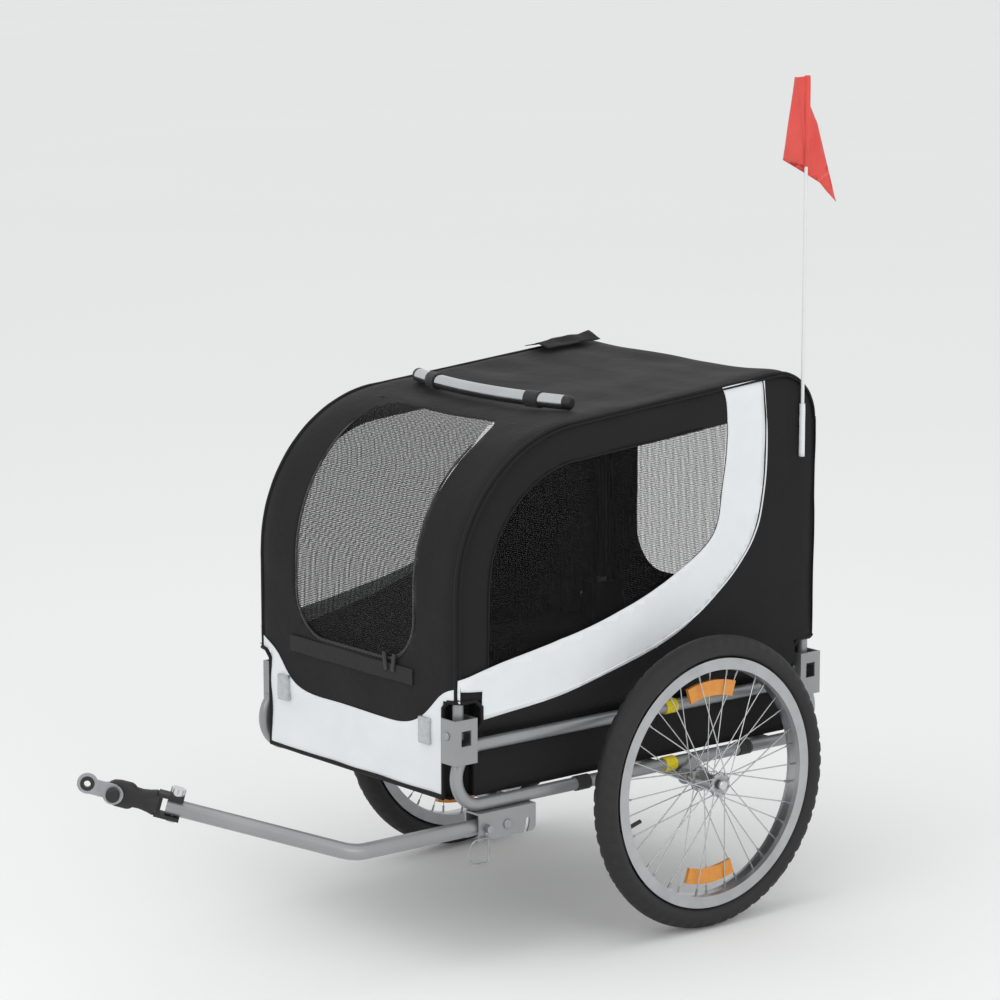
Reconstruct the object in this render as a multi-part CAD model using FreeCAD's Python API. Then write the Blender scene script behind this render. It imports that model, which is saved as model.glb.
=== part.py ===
import FreeCAD, Part
import math
import os

os.makedirs("parts", exist_ok=True)
V = FreeCAD.Vector
AX, AY, AZ = V(1, 0, 0), V(0, 1, 0), V(0, 0, 1)
ORIGIN = V(0, 0, 0)

# Dog trailer, millimetres. While modelling, x is forward from the wheel axle,
# y is to the trailer's left and z is up from the axle.

# Fits
weld_gap = 0.2
cloth_gap = 0.4
run_fit = 0.05
slip_fit = 0.3

# Wheels, 20 inch with a 406 bead seat
tyre_h = 44.0
tyre_half_w = 22.0
tyre_wall = 3.0
shoulder_share = 0.7
bead_r = 203.0
rim_flange = 7.0
rim_half_w = 15.5
rim_depth = 14.0
rim_wall = 2.0
well_share = 0.5
spoke_count = 36
spoke_r = 1.0
spoke_cross = 50.0
spoke_split = 3.8
spoke_lead_share = 1.2
flange_off = 24.0
flange_r = 21.0
flange_half_t = 1.5
flange_hole_r = 17.0
bearing_r = 14.0
bearing_w = 8.0
axle_r = 6.0
axle_sink = 105.0
axle_tip = 1.0
collar_r = 9.0
button_r = 8.5
button_t = 5.0
button_round = 3.0
button_lift = 3.5
stem_r = 2.5
reflector_drop = 17.0
reflector_h = 26.0
reflector_half_deg = 18.0
reflector_degs = (90.0, 270.0)
valve_r = 3.4
valve_len = 45.0
valve_deg = -15.0

# Lower frame
tube_r = 10.5
tube_wall = 1.5
loop_y = 258.0
wheel_off = 72.0
rail_low_z = 21.0
rail_gap = 98.0
loop_set_front = 4.0
loop_set_rear = 3.0
cross_set_front = 98.0
cross_set_rear = 95.0
axle_tube_r = 10.0
axle_tube_over = 27.0
plate_t = 4.0
plate_r = 16.0
plate_rear = -52.0
plate_front = -14.0
plate_over = 10.0
band_x = 28.0
band_w = 24.0
band_t = 1.4
band_rib = 0.6
band_ribs = 3
strap_front = 218.0
strap_rear = -140.0
strap_w = 27.0
strap_t = 1.6

# Cabin outline in side view
cloth_t = 2.0
cabin_front = 482.0
cabin_rear = -298.0
front_height = 567.0
rear_height = 631.0
front_curve = 260.0
rear_curve = 90.0
wall_off = 6.0
skirt_in = 13.0
skirt_over = 14.0
wall_step = 25.0
floor_gap = 0.5
board_t = 4.5
board_edge = 16.0
cabin_edge = 2.0
rear_split_drop = 95.0

# Openings and trim of the cabin
door_half = 160.0
door_rise = 201.0
door_drop = 11.5
door_low_r = 80.0
door_top_r = 40.0
door_ease = 8.0
zip_gap = 0.6
zip_w = 5.0
zip_t = 1.2
mesh_t = 0.8
mesh_lap = 9.0
window_inset = 65.0
rear_win_half = 192.0
rear_win_rise = 211.0
rear_win_inset = 25.0
rear_win_r = 70.0
trim_t = 0.6
trim_gap = 0.2
notch_reach = 36.0
notch_in = 26.0
notch_over = 53.0
notch_under = 9.0
# White bands: edge points as shares of cabin length from the rear and of its
# height above the floor, the upper edge first
band_upper_shares = [
    (0.279, 1.0), (0.267, 0.92), (0.267, 0.83), (0.282, 0.68), (0.299, 0.607),
    (0.362, 0.545), (0.441, 0.491), (0.562, 0.424), (0.727, 0.366), (0.888, 0.328),
    (1.0, 0.301)]
band_lower_shares = [
    (0.164, 1.0), (0.158, 0.81), (0.168, 0.655), (0.187, 0.582), (0.231, 0.508),
    (0.303, 0.43), (0.374, 0.37), (0.562, 0.289), (0.727, 0.247), (0.936, 0.224),
    (1.0, 0.216)]
# Top edge of the white front band, shares of half width and of cabin height
scoop_shares = [(-1.0, 0.292), (-0.86, 0.27), (-0.67, 0.2), (-0.21, 0.168), (0.21, 0.168),
                (0.67, 0.2), (0.86, 0.27), (1.0, 0.292)]
front_reflector_w = 28.0
front_reflector_h = 44.0
front_reflector_t = 9.0
front_reflector_y = 190.0
front_reflector_rise = 106.0
flap_l = 120.0
flap_w = 62.0
flap_lift = 12.0
flap_ahead = 203.0
flap_y = -200.0

# Folding arches and their brackets
arch_r = 9.0
arch_wall = 1.5
arch_in = 8.0
arch_set = 14.0
arch_nest = 20.0
arch_drop = 13.0
pivot_lift = 21.0
heel = 8.0
pin_r = 4.0
pin_head_r = 7.0
pin_head_t = 3.0
bracket_half = 20.0
bracket_t = 2.5
bracket_under = 46.0
bracket_over = 27.0
bracket_in = 22.0
web_off = 11.0
window_half = 10.0
window_under = 16.0
window_over = 9.0

# Roof bar
bar_r = 12.0
bar_wall = 1.4
bar_back = 286.0
bar_bend_r = 645.143
bar_half = 188.0
plug_len = 28.0
bar_strap_y = 128.0
bar_strap_w = 28.0

# Tow bar, receiver and coupler
tow_r = 13.0
tow_wall = 2.0
tow_bend_r = 60.0
tow_drop = 36.0
tow_straight = 292.0
tow_reach = 522.0
tow_tip_y = 82.0
tow_rise = 80.0
hinge_back = 90.0
tow_tail = 12.0
receiver_ahead = 58.0
receiver_behind = 59.0
receiver_under = 20.0
receiver_half = 15.0
receiver_t = 3.0
receiver_corner = 10.0
bolt_r = 4.0
bolt_head_r = 8.0
bolt_head_t = 2.8
lock_reach = 42.5
lock_r = 3.5
lock_head_r = 6.0
lock_head_t = 3.0
bail_r = 1.5
bail_drop = 54.0
bail_top_drop = 14.0
bail_w = 39.0
bail_corner = 6.0
bail_round = 16.0
yoke_half_w = 13.0
yoke_t = 6.0
yoke_back = 24.0
yoke_web = 8.0
coupler_bolt_back = 12.0
neck_shares = [(0.06, 1.0), (0.34, 0.68), (0.62, 0.66), (1.0, 0.66)]
coupler_len = 98.0
coupler_r = 19.0
knob_r = 12.0
knob_h = 12.0
knob_lobe_r = 5.0
knob_lobes = 6
hitch_pivot = 84.0
hitch_y = 13.2
hitch_t = 5.0
hitch_reach = 126.0
hitch_end_r = 16.0
hitch_rise = 7.0
hitch_eye_r = 5.2
washer_r = 11.0
washer_t = 2.0
hitch_knob_r = 11.0
hitch_knob_t = 12.0

# Safety flag
pole_r = 3.0
pole_ahead = 40.0
pole_sink = 153.0
pole_len = 635.0
sleeve_drop = 65.0
sleeve_wall = 1.6
flag_t = 1.0
flag_hem = 1.2
flag_gap = 6.0
flag_h = 150.0
flag_reach = 47.0
flag_top_reach = 22.0
flag_tail_x = 77.0
flag_tail_drop = 214.0
flag_waist_drop = 79.0
flag_waist_share = 0.4
flag_foot_share = 0.5
flag_foot_drop = 30.0
flag_corner_rise = 13.0

# Wheel radii from the bead seat
tyre_r = bead_r + tyre_h
rim_r = bead_r + rim_flange
rim_in_r = bead_r - rim_depth
reflector_out_r = rim_in_r - reflector_drop
reflector_in_r = reflector_out_r - reflector_h
valve_in_r = bead_r - valve_len

# Places across, from the loop tubes' middle
wheel_y = loop_y + wheel_off
hub_end = flange_off + flange_half_t
axle_out = wheel_y + hub_end + axle_tip
axle_tube_end = loop_y + axle_tube_over
axle_in = axle_tube_end - axle_sink
wall_y = loop_y + wall_off
skirt_y = loop_y - skirt_in
notch_y = loop_y - notch_in
arch_y = loop_y - arch_in
bracket_in_y = loop_y - bracket_in
web_y = loop_y + web_off

# Places along, from the cabin's ends
loop_front = cabin_front - loop_set_front
loop_rear = cabin_rear + loop_set_rear
cross_front = loop_front - cross_set_front
cross_rear = loop_rear + cross_set_rear
arch_front = cabin_front - arch_set
arch_rear = cabin_rear + arch_set
bar_x = cabin_front - bar_back
flap_x = cabin_rear + flap_ahead
pole_x = cabin_rear + pole_ahead
hinge_x = loop_front - hinge_back
receiver_front = hinge_x + receiver_ahead
receiver_rear = hinge_x - receiver_behind
tow_knee = hinge_x + tow_straight

# Heights, from the lower rail
rail_top_z = rail_low_z + rail_gap
plate_top = rail_low_z + plate_over
floor_z = rail_low_z + tube_r + floor_gap
roof_front_z = floor_z + front_height
roof_rear_z = floor_z + rear_height
skirt_top = rail_top_z + skirt_over
wall_low = skirt_top + wall_step
rear_split_z = roof_rear_z - rear_split_drop
rear_win_low = floor_z + rear_win_rise
rear_win_top = rear_split_z - rear_win_inset
door_low = floor_z + door_rise
front_reflector_z = floor_z + front_reflector_rise
pivot_z = rail_top_z + pivot_lift
bracket_low = pivot_z - bracket_under
bracket_top = pivot_z + bracket_over
window_low = pivot_z - window_under
window_high = pivot_z + window_over
notch_top = pivot_z + notch_over
notch_low = floor_z - notch_under
tow_z = rail_low_z - tow_drop
receiver_low = tow_z - receiver_under
pole_low = roof_rear_z - pole_sink
pole_top = pole_low + pole_len
sleeve_top = roof_rear_z - sleeve_drop
flag_low = pole_top - flag_h

# Coupler directions: u along the tow bar's end, v level across it, w up
tow_tip = V(hinge_x + tow_reach, tow_tip_y, tow_z + tow_rise)
u = (tow_tip - V(tow_knee, loop_y, tow_z)).normalize()
v = AZ.cross(u).normalize()
w = u.cross(v)


def at_tip(along, side, up):
    return tow_tip + u * along + v * side + w * up


# The finished part stands with its origin under the middle of its length
plate_out = hitch_y + hitch_t
eye_middle = at_tip(hitch_reach, plate_out, hitch_rise)
front_end = eye_middle.x + hitch_end_r * math.sqrt(1.0 - v.x * v.x)
rear_end = pole_x - flag_tail_x
row_mid_x = (front_end + rear_end) / 2.0
roof_slope = (roof_rear_z - roof_front_z) / (cabin_front - cabin_rear)


def roof_at(x):
    return roof_front_z + roof_slope * (cabin_front - x)


roof_stretch = math.sqrt(1.0 + roof_slope * roof_slope)
bar_bow = bar_bend_r - math.sqrt(bar_bend_r ** 2 - bar_half ** 2)
strap_ahead = bar_bow * (1.0 - (bar_strap_y / bar_half) ** 2)
bar_z = roof_at(bar_x + strap_ahead) + (bar_r + trim_gap + strap_t + cloth_gap) * roof_stretch
door_top = roof_at(bar_x + bar_r) - door_drop


def save(shape, node):
    moved = shape.copy()
    moved.translate(V(-row_mid_x, 0, tyre_r))
    moved.exportStep("parts/" + node + ".step")


def mirrored(shape):
    return shape.mirror(ORIGIN, AY)


def both(shape):
    return Part.Compound([shape, mirrored(shape)])


def rod(start, end, radius):
    way = end - start
    return Part.makeCylinder(radius, way.Length, start, way)


def ring(centre, axis, outer, inner, length):
    middle = centre - axis * (length / 2.0)
    body = Part.makeCylinder(outer, length, middle, axis)
    return body.cut(Part.makeCylinder(inner, length, middle, axis))


def box(low, high):
    size = high - low
    return Part.makeBox(size.x, size.y, size.z, low)


def fillet_points(before, corner, after, radius):
    one = (before - corner).normalize()
    two = (after - corner).normalize()
    half = one.getAngle(two) / 2.0
    reach = radius / math.tan(half)
    bisector = (one + two).normalize()
    centre = corner + bisector * (radius / math.sin(half))
    middle = centre - bisector * radius
    return corner + one * reach, middle, corner + two * reach


def rounded_edges(points, radii):
    edges = []
    last = points[0]
    for before, corner, after, radius in zip(points, points[1:], points[2:], radii):
        start, middle, end = fillet_points(before, corner, after, radius)
        edges.append(Part.LineSegment(last, start).toShape())
        edges.append(Part.Arc(start, middle, end).toShape())
        last = end
    edges.append(Part.LineSegment(last, points[-1]).toShape())
    return edges


def swept(edges, radius):
    path = Part.Wire(edges)
    start = edges[0].valueAt(edges[0].FirstParameter)
    way = edges[0].tangentAt(edges[0].FirstParameter)
    section = Part.Wire(Part.makeCircle(radius, start, way))
    return path.makePipeShell([section], True, False)


def hollow(edges, outer, wall):
    return swept(edges, outer).cut(swept(edges, outer - wall))


def plate(points, depth):
    return Part.Face(Part.makePolygon(points + [points[0]])).extrude(depth)


def rounded_rect(half_w, low, high, low_r, top_r, x):
    # A closed outline across the trailer at one x, with the start on a straight
    points = [V(x, 0, low), V(x, half_w, low), V(x, half_w, high),
              V(x, -half_w, high), V(x, -half_w, low), V(x, 0, low)]
    return Part.Wire(rounded_edges(points, [low_r, top_r, top_r, low_r]))


def cabin_edges(inset):
    drop = inset * roof_stretch
    front, rear = cabin_front - inset, cabin_rear + inset
    front_z = roof_at(front) - drop
    rear_z = roof_at(rear) - drop
    points = [V(front, 0, floor_z), V(front, 0, front_z), V(rear, 0, rear_z), V(rear, 0, floor_z)]
    return rounded_edges(points, [front_curve - inset, max(rear_curve - inset, cloth_t)])


def cabin_block(inset, low_y, high_y):
    edges = cabin_edges(inset)
    start = edges[0].valueAt(edges[0].FirstParameter)
    end = edges[-1].valueAt(edges[-1].LastParameter)
    face = Part.Face(Part.Wire(edges + [Part.LineSegment(end, start).toShape()]))
    face.translate(V(0, low_y, 0))
    return face.extrude(V(0, high_y - low_y, 0))


def cabin_point(length_share, height_share, y):
    top = roof_front_z + (roof_rear_z - roof_front_z) * (1.0 - length_share)
    return V(cabin_rear + (cabin_front - cabin_rear) * length_share, y,
             floor_z + (top - floor_z) * height_share)


def notches(front_x, rear_x, side):
    far_y = (wall_y + notch_reach) * side
    near_y = notch_y * side
    low_y, high_y = min(near_y, far_y), max(near_y, far_y)
    front = box(V(front_x - notch_reach, low_y, notch_low),
                V(cabin_front + notch_reach, high_y, notch_top))
    rear = box(V(cabin_rear - notch_reach, low_y, notch_low),
               V(rear_x + notch_reach, high_y, notch_top))
    return front.fuse(rear)


def without_notches(shape):
    left = notches(arch_front, arch_rear, 1.0)
    right = notches(arch_front - arch_nest, arch_rear + arch_nest, -1.0)
    return shape.cut(left).cut(right)


# Lower frame: one closed tube loop each side, two cross tubes and the axle tube
bend_z = (rail_top_z + rail_low_z) / 2.0
bend_r = (rail_top_z - rail_low_z) / 2.0


def loop_edges(y):
    front, rear = loop_front - bend_r, loop_rear + bend_r
    return [
        Part.LineSegment(V(rear, y, rail_low_z), V(front, y, rail_low_z)).toShape(),
        Part.Arc(V(front, y, rail_low_z), V(loop_front, y, bend_z), V(front, y, rail_top_z)).toShape(),
        Part.LineSegment(V(front, y, rail_top_z), V(rear, y, rail_top_z)).toShape(),
        Part.Arc(V(rear, y, rail_top_z), V(loop_rear, y, bend_z), V(rear, y, rail_low_z)).toShape()]


left_loop = hollow(loop_edges(loop_y), tube_r, tube_wall)
save(left_loop, "left_loop")
save(mirrored(left_loop), "right_loop")
loop_room = swept(loop_edges(loop_y), tube_r + weld_gap)
low_rail = rod(V(loop_rear, loop_y, rail_low_z), V(loop_front, loop_y, rail_low_z), tube_r + weld_gap)

cross_tubes = []
for x in (cross_front, cross_rear):
    tube = ring(V(x, 0, rail_low_z), AY, tube_r, tube_r - tube_wall, loop_y + loop_y)
    cross_tubes.append(tube.cut(low_rail).cut(mirrored(low_rail)))
save(Part.Compound(cross_tubes), "cross_tubes")

axle_tube = ring(ORIGIN, AY, axle_tube_r, axle_r + run_fit, axle_tube_end + axle_tube_end)
save(axle_tube, "axle_tube")

plate_y = loop_y + tube_r + weld_gap
axle_plate = Part.makeCylinder(plate_r, plate_t, V(0, plate_y, 0), AY)
axle_plate = axle_plate.fuse(plate(
    [V(plate_rear, plate_y, plate_top), V(plate_front, plate_y, plate_top),
     V(plate_r, plate_y, 0), V(0, plate_y, -plate_r)], V(0, plate_t, 0)))
axle_plate = axle_plate.removeSplitter()
axle_plate = axle_plate.cut(Part.makeCylinder(axle_tube_r + weld_gap, plate_t, V(0, plate_y, 0), AY))
save(both(axle_plate), "axle_brackets")

rail_bands = []
for z in (rail_low_z, rail_top_z):
    centre = V(band_x, loop_y, z)
    band = ring(centre, AX, tube_r + trim_gap + band_t, tube_r + trim_gap, band_w)
    for i in range(band_ribs):
        place = V(band_x + band_w * ((i + 0.5) / band_ribs - 0.5), loop_y, z)
        rib = ring(place, AX, tube_r + band_t + band_rib, tube_r + band_t, band_w / (2 * band_ribs))
        band = band.fuse(rib)
    rail_bands += [band, mirrored(band)]
save(Part.Compound(rail_bands), "rail_bands")

rail_straps = []
for x in (strap_front, strap_rear):
    strap = ring(V(x, loop_y, rail_low_z), AX, tube_r + trim_gap + strap_t, tube_r + trim_gap, strap_w)
    rail_straps += [strap, mirrored(strap)]
save(Part.Compound(rail_straps), "rail_straps")

# Arches: one hoop each side, hinged in brackets so that they fold inwards
def arch_edges(front, rear, y):
    top_front = roof_at(front) - arch_drop
    top_rear = roof_at(rear) - arch_drop
    low = pivot_z - heel
    points = [V(front, y, low), V(front, y, top_front), V(rear, y, top_rear), V(rear, y, low)]
    return rounded_edges(points, [front_curve - arch_drop, rear_curve - arch_drop])


def arch(front, rear, y):
    tube = hollow(arch_edges(front, rear, y), arch_r, arch_wall)
    for x in (front, rear):
        start, end = V(x - bracket_half, y, pivot_z), V(x + bracket_half, y, pivot_z)
        tube = tube.cut(rod(start, end, pin_r + run_fit))
    return tube


def bracket(x, y_side):
    low = V(x - bracket_half - bracket_t, bracket_in_y, bracket_low)
    high = V(x + bracket_half + bracket_t, web_y + bracket_t, bracket_top)
    room = box(V(x - bracket_half, bracket_in_y, bracket_low), V(x + bracket_half, web_y, bracket_top))
    window = box(V(x - window_half, web_y, window_low), V(x + window_half, web_y + bracket_t, window_high))
    shell = box(low, high).cut(room).cut(window)
    shell = shell.cut(Part.makeCylinder(pin_r + run_fit, (high - low).x, V(low.x, arch_y, pivot_z), AX))
    shell = shell.cut(loop_room)
    return shell if y_side > 0 else mirrored(shell)


def fold_pin(x, y_side):
    half = bracket_half + bracket_t
    pin = Part.makeCylinder(pin_r, half * 2, V(x - half, arch_y, pivot_z), AX)
    for end, way in ((x - half, -1.0), (x + half, 1.0)):
        dome = Part.makeCylinder(pin_head_r, pin_head_t, V(end, arch_y, pivot_z), AX * way)
        pin = pin.fuse(dome.makeChamfer(pin_head_t / 2.0, [dome.Edges[0]]))
    return pin if y_side > 0 else mirrored(pin)


right_front, right_rear = arch_front - arch_nest, arch_rear + arch_nest
save(arch(arch_front, arch_rear, arch_y), "left_arch")
save(arch(right_front, right_rear, -arch_y), "right_arch")
save(Part.Compound([bracket(arch_front, 1.0), bracket(arch_rear, 1.0)]), "left_fold_brackets")
save(Part.Compound([bracket(right_front, -1.0), bracket(right_rear, -1.0)]), "right_fold_brackets")
save(Part.Compound([fold_pin(arch_front, 1.0), fold_pin(arch_rear, 1.0), fold_pin(right_front, -1.0),
                    fold_pin(right_rear, -1.0)]), "fold_pins")

# Cabin cloth: floor, side walls, the front and roof in one sheet, and the rear wall
floor_half = skirt_y - cloth_t - cloth_gap
floor_cloth = box(V(cabin_rear + cloth_t + cloth_gap, -floor_half, floor_z),
                  V(cabin_front - cloth_t - cloth_gap, floor_half, floor_z + cloth_t))
save(floor_cloth, "floor_cloth")
board_low = floor_z + cloth_t + trim_gap
floor_board = box(V(cabin_rear + board_edge, board_edge - skirt_y, board_low),
                  V(cabin_front - board_edge, skirt_y - board_edge, board_low + board_t))
upright_edges = [e for e in floor_board.Edges if abs(e.tangentAt(0).z) > 0.5]
save(floor_board.makeFillet(board_edge, upright_edges), "floor_board")

wall_inset = cloth_t + cloth_gap
wall_section = [V(0, skirt_y, floor_z), V(0, skirt_y, skirt_top), V(0, wall_y, wall_low),
                V(0, wall_y, roof_rear_z), V(0, wall_y - cloth_t, roof_rear_z),
                V(0, wall_y - cloth_t, wall_low), V(0, skirt_y - cloth_t, skirt_top),
                V(0, skirt_y - cloth_t, floor_z)]
wall_sheet = plate(wall_section, V(cabin_front - cabin_rear, 0, 0))
wall_sheet.translate(V(cabin_rear, 0, 0))
wall_sheet = wall_sheet.common(cabin_block(wall_inset, 0, wall_y))


def spline(points):
    curve = Part.BSplineCurve()
    curve.interpolate(points)
    return curve.toShape()


def under_edge(shares, low_y, high_y):
    # Everything below a band edge, as a block through the wall
    points = [cabin_point(a, b, low_y) for a, b in shares]
    first = V(points[0].x, low_y, roof_rear_z + front_curve)
    rear_top = V(cabin_rear - front_curve, low_y, first.z)
    rear_low = V(rear_top.x, low_y, floor_z - front_curve)
    last = V(cabin_front + front_curve, low_y, points[-1].z)
    front_low = V(last.x, low_y, rear_low.z)
    straight = Part.makePolygon([points[-1], last, front_low, rear_low, rear_top, first, points[0]])
    face = Part.Face(Part.Wire([spline(points)] + straight.Edges))
    return face.extrude(V(0, high_y - low_y, 0))


window_room = cabin_block(window_inset, 0, wall_y + front_curve)
window_room = window_room.cut(under_edge(band_upper_shares, 0, wall_y + front_curve))
left_wall = wall_sheet.cut(window_room)
save(without_notches(left_wall), "left_side_panel")
save(without_notches(mirrored(left_wall)), "right_side_panel")

mesh_y = wall_y - cloth_t - trim_gap - mesh_t
side_mesh = cabin_block(window_inset - mesh_lap, mesh_y, mesh_y + mesh_t)
mesh_edge = [(a, b - mesh_lap / (roof_rear_z - floor_z)) for a, b in band_upper_shares]
side_mesh = side_mesh.cut(under_edge(mesh_edge, 0, wall_y))
save(both(side_mesh), "side_window_mesh")

band_low_y = wall_y + trim_gap
side_band = cabin_block(wall_inset, band_low_y, band_low_y + trim_t)
side_band = side_band.common(under_edge(band_upper_shares, 0, wall_y + front_curve))
side_band = side_band.cut(under_edge(band_lower_shares, 0, wall_y + front_curve))
save(without_notches(both(side_band)), "side_bands")

hood_half = wall_y + cabin_edge
hood = cabin_block(0, -hood_half, hood_half).cut(cabin_block(cloth_t, -hood_half, hood_half))
rear_room = box(V(cabin_rear - cloth_t, -hood_half, floor_z),
                V(cabin_rear + cloth_t + cloth_gap, hood_half, rear_split_z))
hood = hood.cut(rear_room)
door_outline = rounded_rect(door_half, door_low, door_top, door_low_r, door_top_r, bar_x + bar_r)
door_room = Part.Face(door_outline).extrude(V(front_curve + front_curve, 0, 0))
hood = without_notches(hood.cut(door_room))
save(hood, "front_and_roof_panel")

rear_wall = box(V(cabin_rear, -hood_half, floor_z),
                V(cabin_rear + cloth_t, hood_half, rear_split_z - cloth_gap))
rear_outline = rounded_rect(rear_win_half, rear_win_low, rear_win_top, rear_win_r, rear_win_r, cabin_rear)
rear_wall = without_notches(rear_wall.cut(Part.Face(rear_outline).extrude(V(cloth_t, 0, 0))))
save(rear_wall, "rear_panel")
rear_lap = rounded_rect(rear_win_half + mesh_lap, rear_win_low - mesh_lap, rear_win_top + mesh_lap,
                        rear_win_r, rear_win_r, cabin_rear + cloth_t + trim_gap)
save(Part.Face(rear_lap).extrude(V(mesh_t, 0, 0)), "rear_window_mesh")

front_band = box(V(cabin_front + trim_gap, -hood_half, floor_z + cloth_t),
                 V(cabin_front + trim_gap + trim_t, hood_half, door_low))
scoop = [V(cabin_front, hood_half * a, floor_z + (roof_rear_z - floor_z) * b) for a, b in scoop_shares]
scoop_top = [scoop[-1] + AZ * front_curve, scoop[0] + AZ * front_curve]
above_scoop = Part.Wire([spline(scoop)] + Part.makePolygon([scoop[-1]] + scoop_top + [scoop[0]]).Edges)
front_band = front_band.cut(Part.Face(above_scoop).extrude(V(cloth_t, 0, 0)))
save(without_notches(front_band), "front_band")

front_reflectors = []
for side in (1.0, -1.0):
    low_x = cabin_front + trim_gap + trim_t + trim_gap
    y = front_reflector_y * side
    low_z = front_reflector_z - front_reflector_h / 2
    lens = box(V(low_x, y - front_reflector_w / 2, low_z),
               V(low_x + front_reflector_t, y + front_reflector_w / 2, low_z + front_reflector_h))
    front_reflectors.append(lens.makeFillet(front_reflector_t / 3, lens.Edges))
save(Part.Compound(front_reflectors), "front_reflectors")

# Front door: a mesh sheet in its zip, turning about the top of the opening
door_sheet = cabin_block(0, -hood_half, hood_half).cut(cabin_block(cloth_t, -hood_half, hood_half))
door_in = rounded_rect(door_half - zip_gap, door_low + zip_gap, door_top - zip_gap, door_low_r - zip_gap,
                       door_top_r - zip_gap + door_ease, bar_x + bar_r)
door_sheet = door_sheet.common(Part.Face(door_in).extrude(V(front_curve + front_curve, 0, 0)))
save(door_sheet, "front_door")
zip_skin = cabin_block(-trim_gap - zip_t, -hood_half, hood_half)
zip_skin = zip_skin.cut(cabin_block(-trim_gap, -hood_half, hood_half))
zip_in = rounded_rect(door_half - zip_gap - zip_w, door_low + zip_gap + zip_w, door_top + front_curve,
                      door_low_r - zip_gap - zip_w, door_top_r, bar_x + bar_r)
zip_skin = zip_skin.common(Part.Face(door_in).extrude(V(front_curve + front_curve, 0, 0)))
zip_skin = zip_skin.cut(Part.Face(zip_in).extrude(V(front_curve + front_curve, 0, 0)))
save(zip_skin, "door_zip")

# Roof flap: a hem lifted off the roof behind the bar
flap_z = roof_at(flap_x) + cloth_gap
flap_section = [V(flap_x, flap_y, flap_z), V(flap_x, flap_y - flap_w, flap_z),
                V(flap_x, flap_y - flap_w, flap_z + cloth_t),
                V(flap_x, flap_y - flap_w / 2, flap_z + flap_lift - cloth_gap),
                V(flap_x, flap_y, flap_z + cloth_t)]
flap_way = V(-flap_l, 0, flap_l * roof_slope)
save(plate(flap_section, flap_way), "roof_flap")

# Roof bar: a bowed tube with end plugs in two webbing loops
bar_ends = [V(bar_x, -bar_half, bar_z), V(bar_x + bar_bow, 0, bar_z), V(bar_x, bar_half, bar_z)]
bar_edge = Part.Arc(bar_ends[0], bar_ends[1], bar_ends[2]).toShape()
save(hollow([bar_edge], bar_r, bar_wall), "roof_bar")
bar_plugs = []
for end, way in ((bar_edge.FirstParameter, -1.0), (bar_edge.LastParameter, 1.0)):
    tangent = bar_edge.tangentAt(end) * way
    cap = Part.makeCylinder(bar_r, plug_len / 2, bar_edge.valueAt(end) + tangent * trim_gap, tangent)
    cap = cap.makeFillet(bar_r / 2, [cap.Edges[0]])
    core_top = bar_edge.valueAt(end) + tangent * bar_r
    core = Part.makeCylinder(bar_r - bar_wall - slip_fit, plug_len, core_top, tangent * -1)
    bar_plugs.append(cap.fuse(core))
save(Part.Compound(bar_plugs), "roof_bar_plugs")
bar_straps = []
for side in (1.0, -1.0):
    half_len = bar_edge.LastParameter - bar_edge.FirstParameter
    at = bar_edge.FirstParameter + half_len * (0.5 + 0.5 * side * bar_strap_y / bar_half)
    strap_in = bar_r + trim_gap
    bar_straps.append(ring(bar_edge.valueAt(at), bar_edge.tangentAt(at), strap_in + strap_t, strap_in,
                           bar_strap_w))
save(Part.Compound(bar_straps), "roof_bar_straps")

# Wheels
def around_axle(points):
    # A section of (radius, y) pairs turned about the left wheel's axle
    corners = [V(r, y, 0) for r, y in points]
    wire = Part.makePolygon(corners + [corners[0]])
    return Part.Face(wire).revolve(ORIGIN, AY, 360)


def wheel_point(radius, degrees, y):
    angle = math.radians(degrees)
    return V(radius * math.cos(angle), y, radius * math.sin(angle))


def tyre_section(grow):
    # Casing: up inside the rim flange, round the side wall, over the crown and back
    half, crown = tyre_half_w - grow, tyre_r - grow
    lip, foot = rim_r + slip_fit, bead_r + grow
    bead = rim_half_w - rim_wall - slip_fit - grow
    middle = (lip + tyre_r) / 2.0
    shoulder_r, shoulder = crown - tyre_wall, half * shoulder_share
    side = Part.Arc(V(lip, wheel_y + bead, 0), V(middle, wheel_y + half, 0),
                    V(shoulder_r, wheel_y + shoulder, 0)).toShape()
    top = Part.Arc(V(shoulder_r, wheel_y + shoulder, 0), V(crown, wheel_y, 0),
                   V(shoulder_r, wheel_y - shoulder, 0)).toShape()
    other = Part.Arc(V(shoulder_r, wheel_y - shoulder, 0), V(middle, wheel_y - half, 0),
                     V(lip, wheel_y - bead, 0)).toShape()
    base = Part.makePolygon([V(lip, wheel_y - bead, 0), V(foot, wheel_y - bead, 0),
                             V(foot, wheel_y + bead, 0), V(lip, wheel_y + bead, 0)])
    return Part.Face(Part.Wire([side, top, other] + base.Edges))


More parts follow.
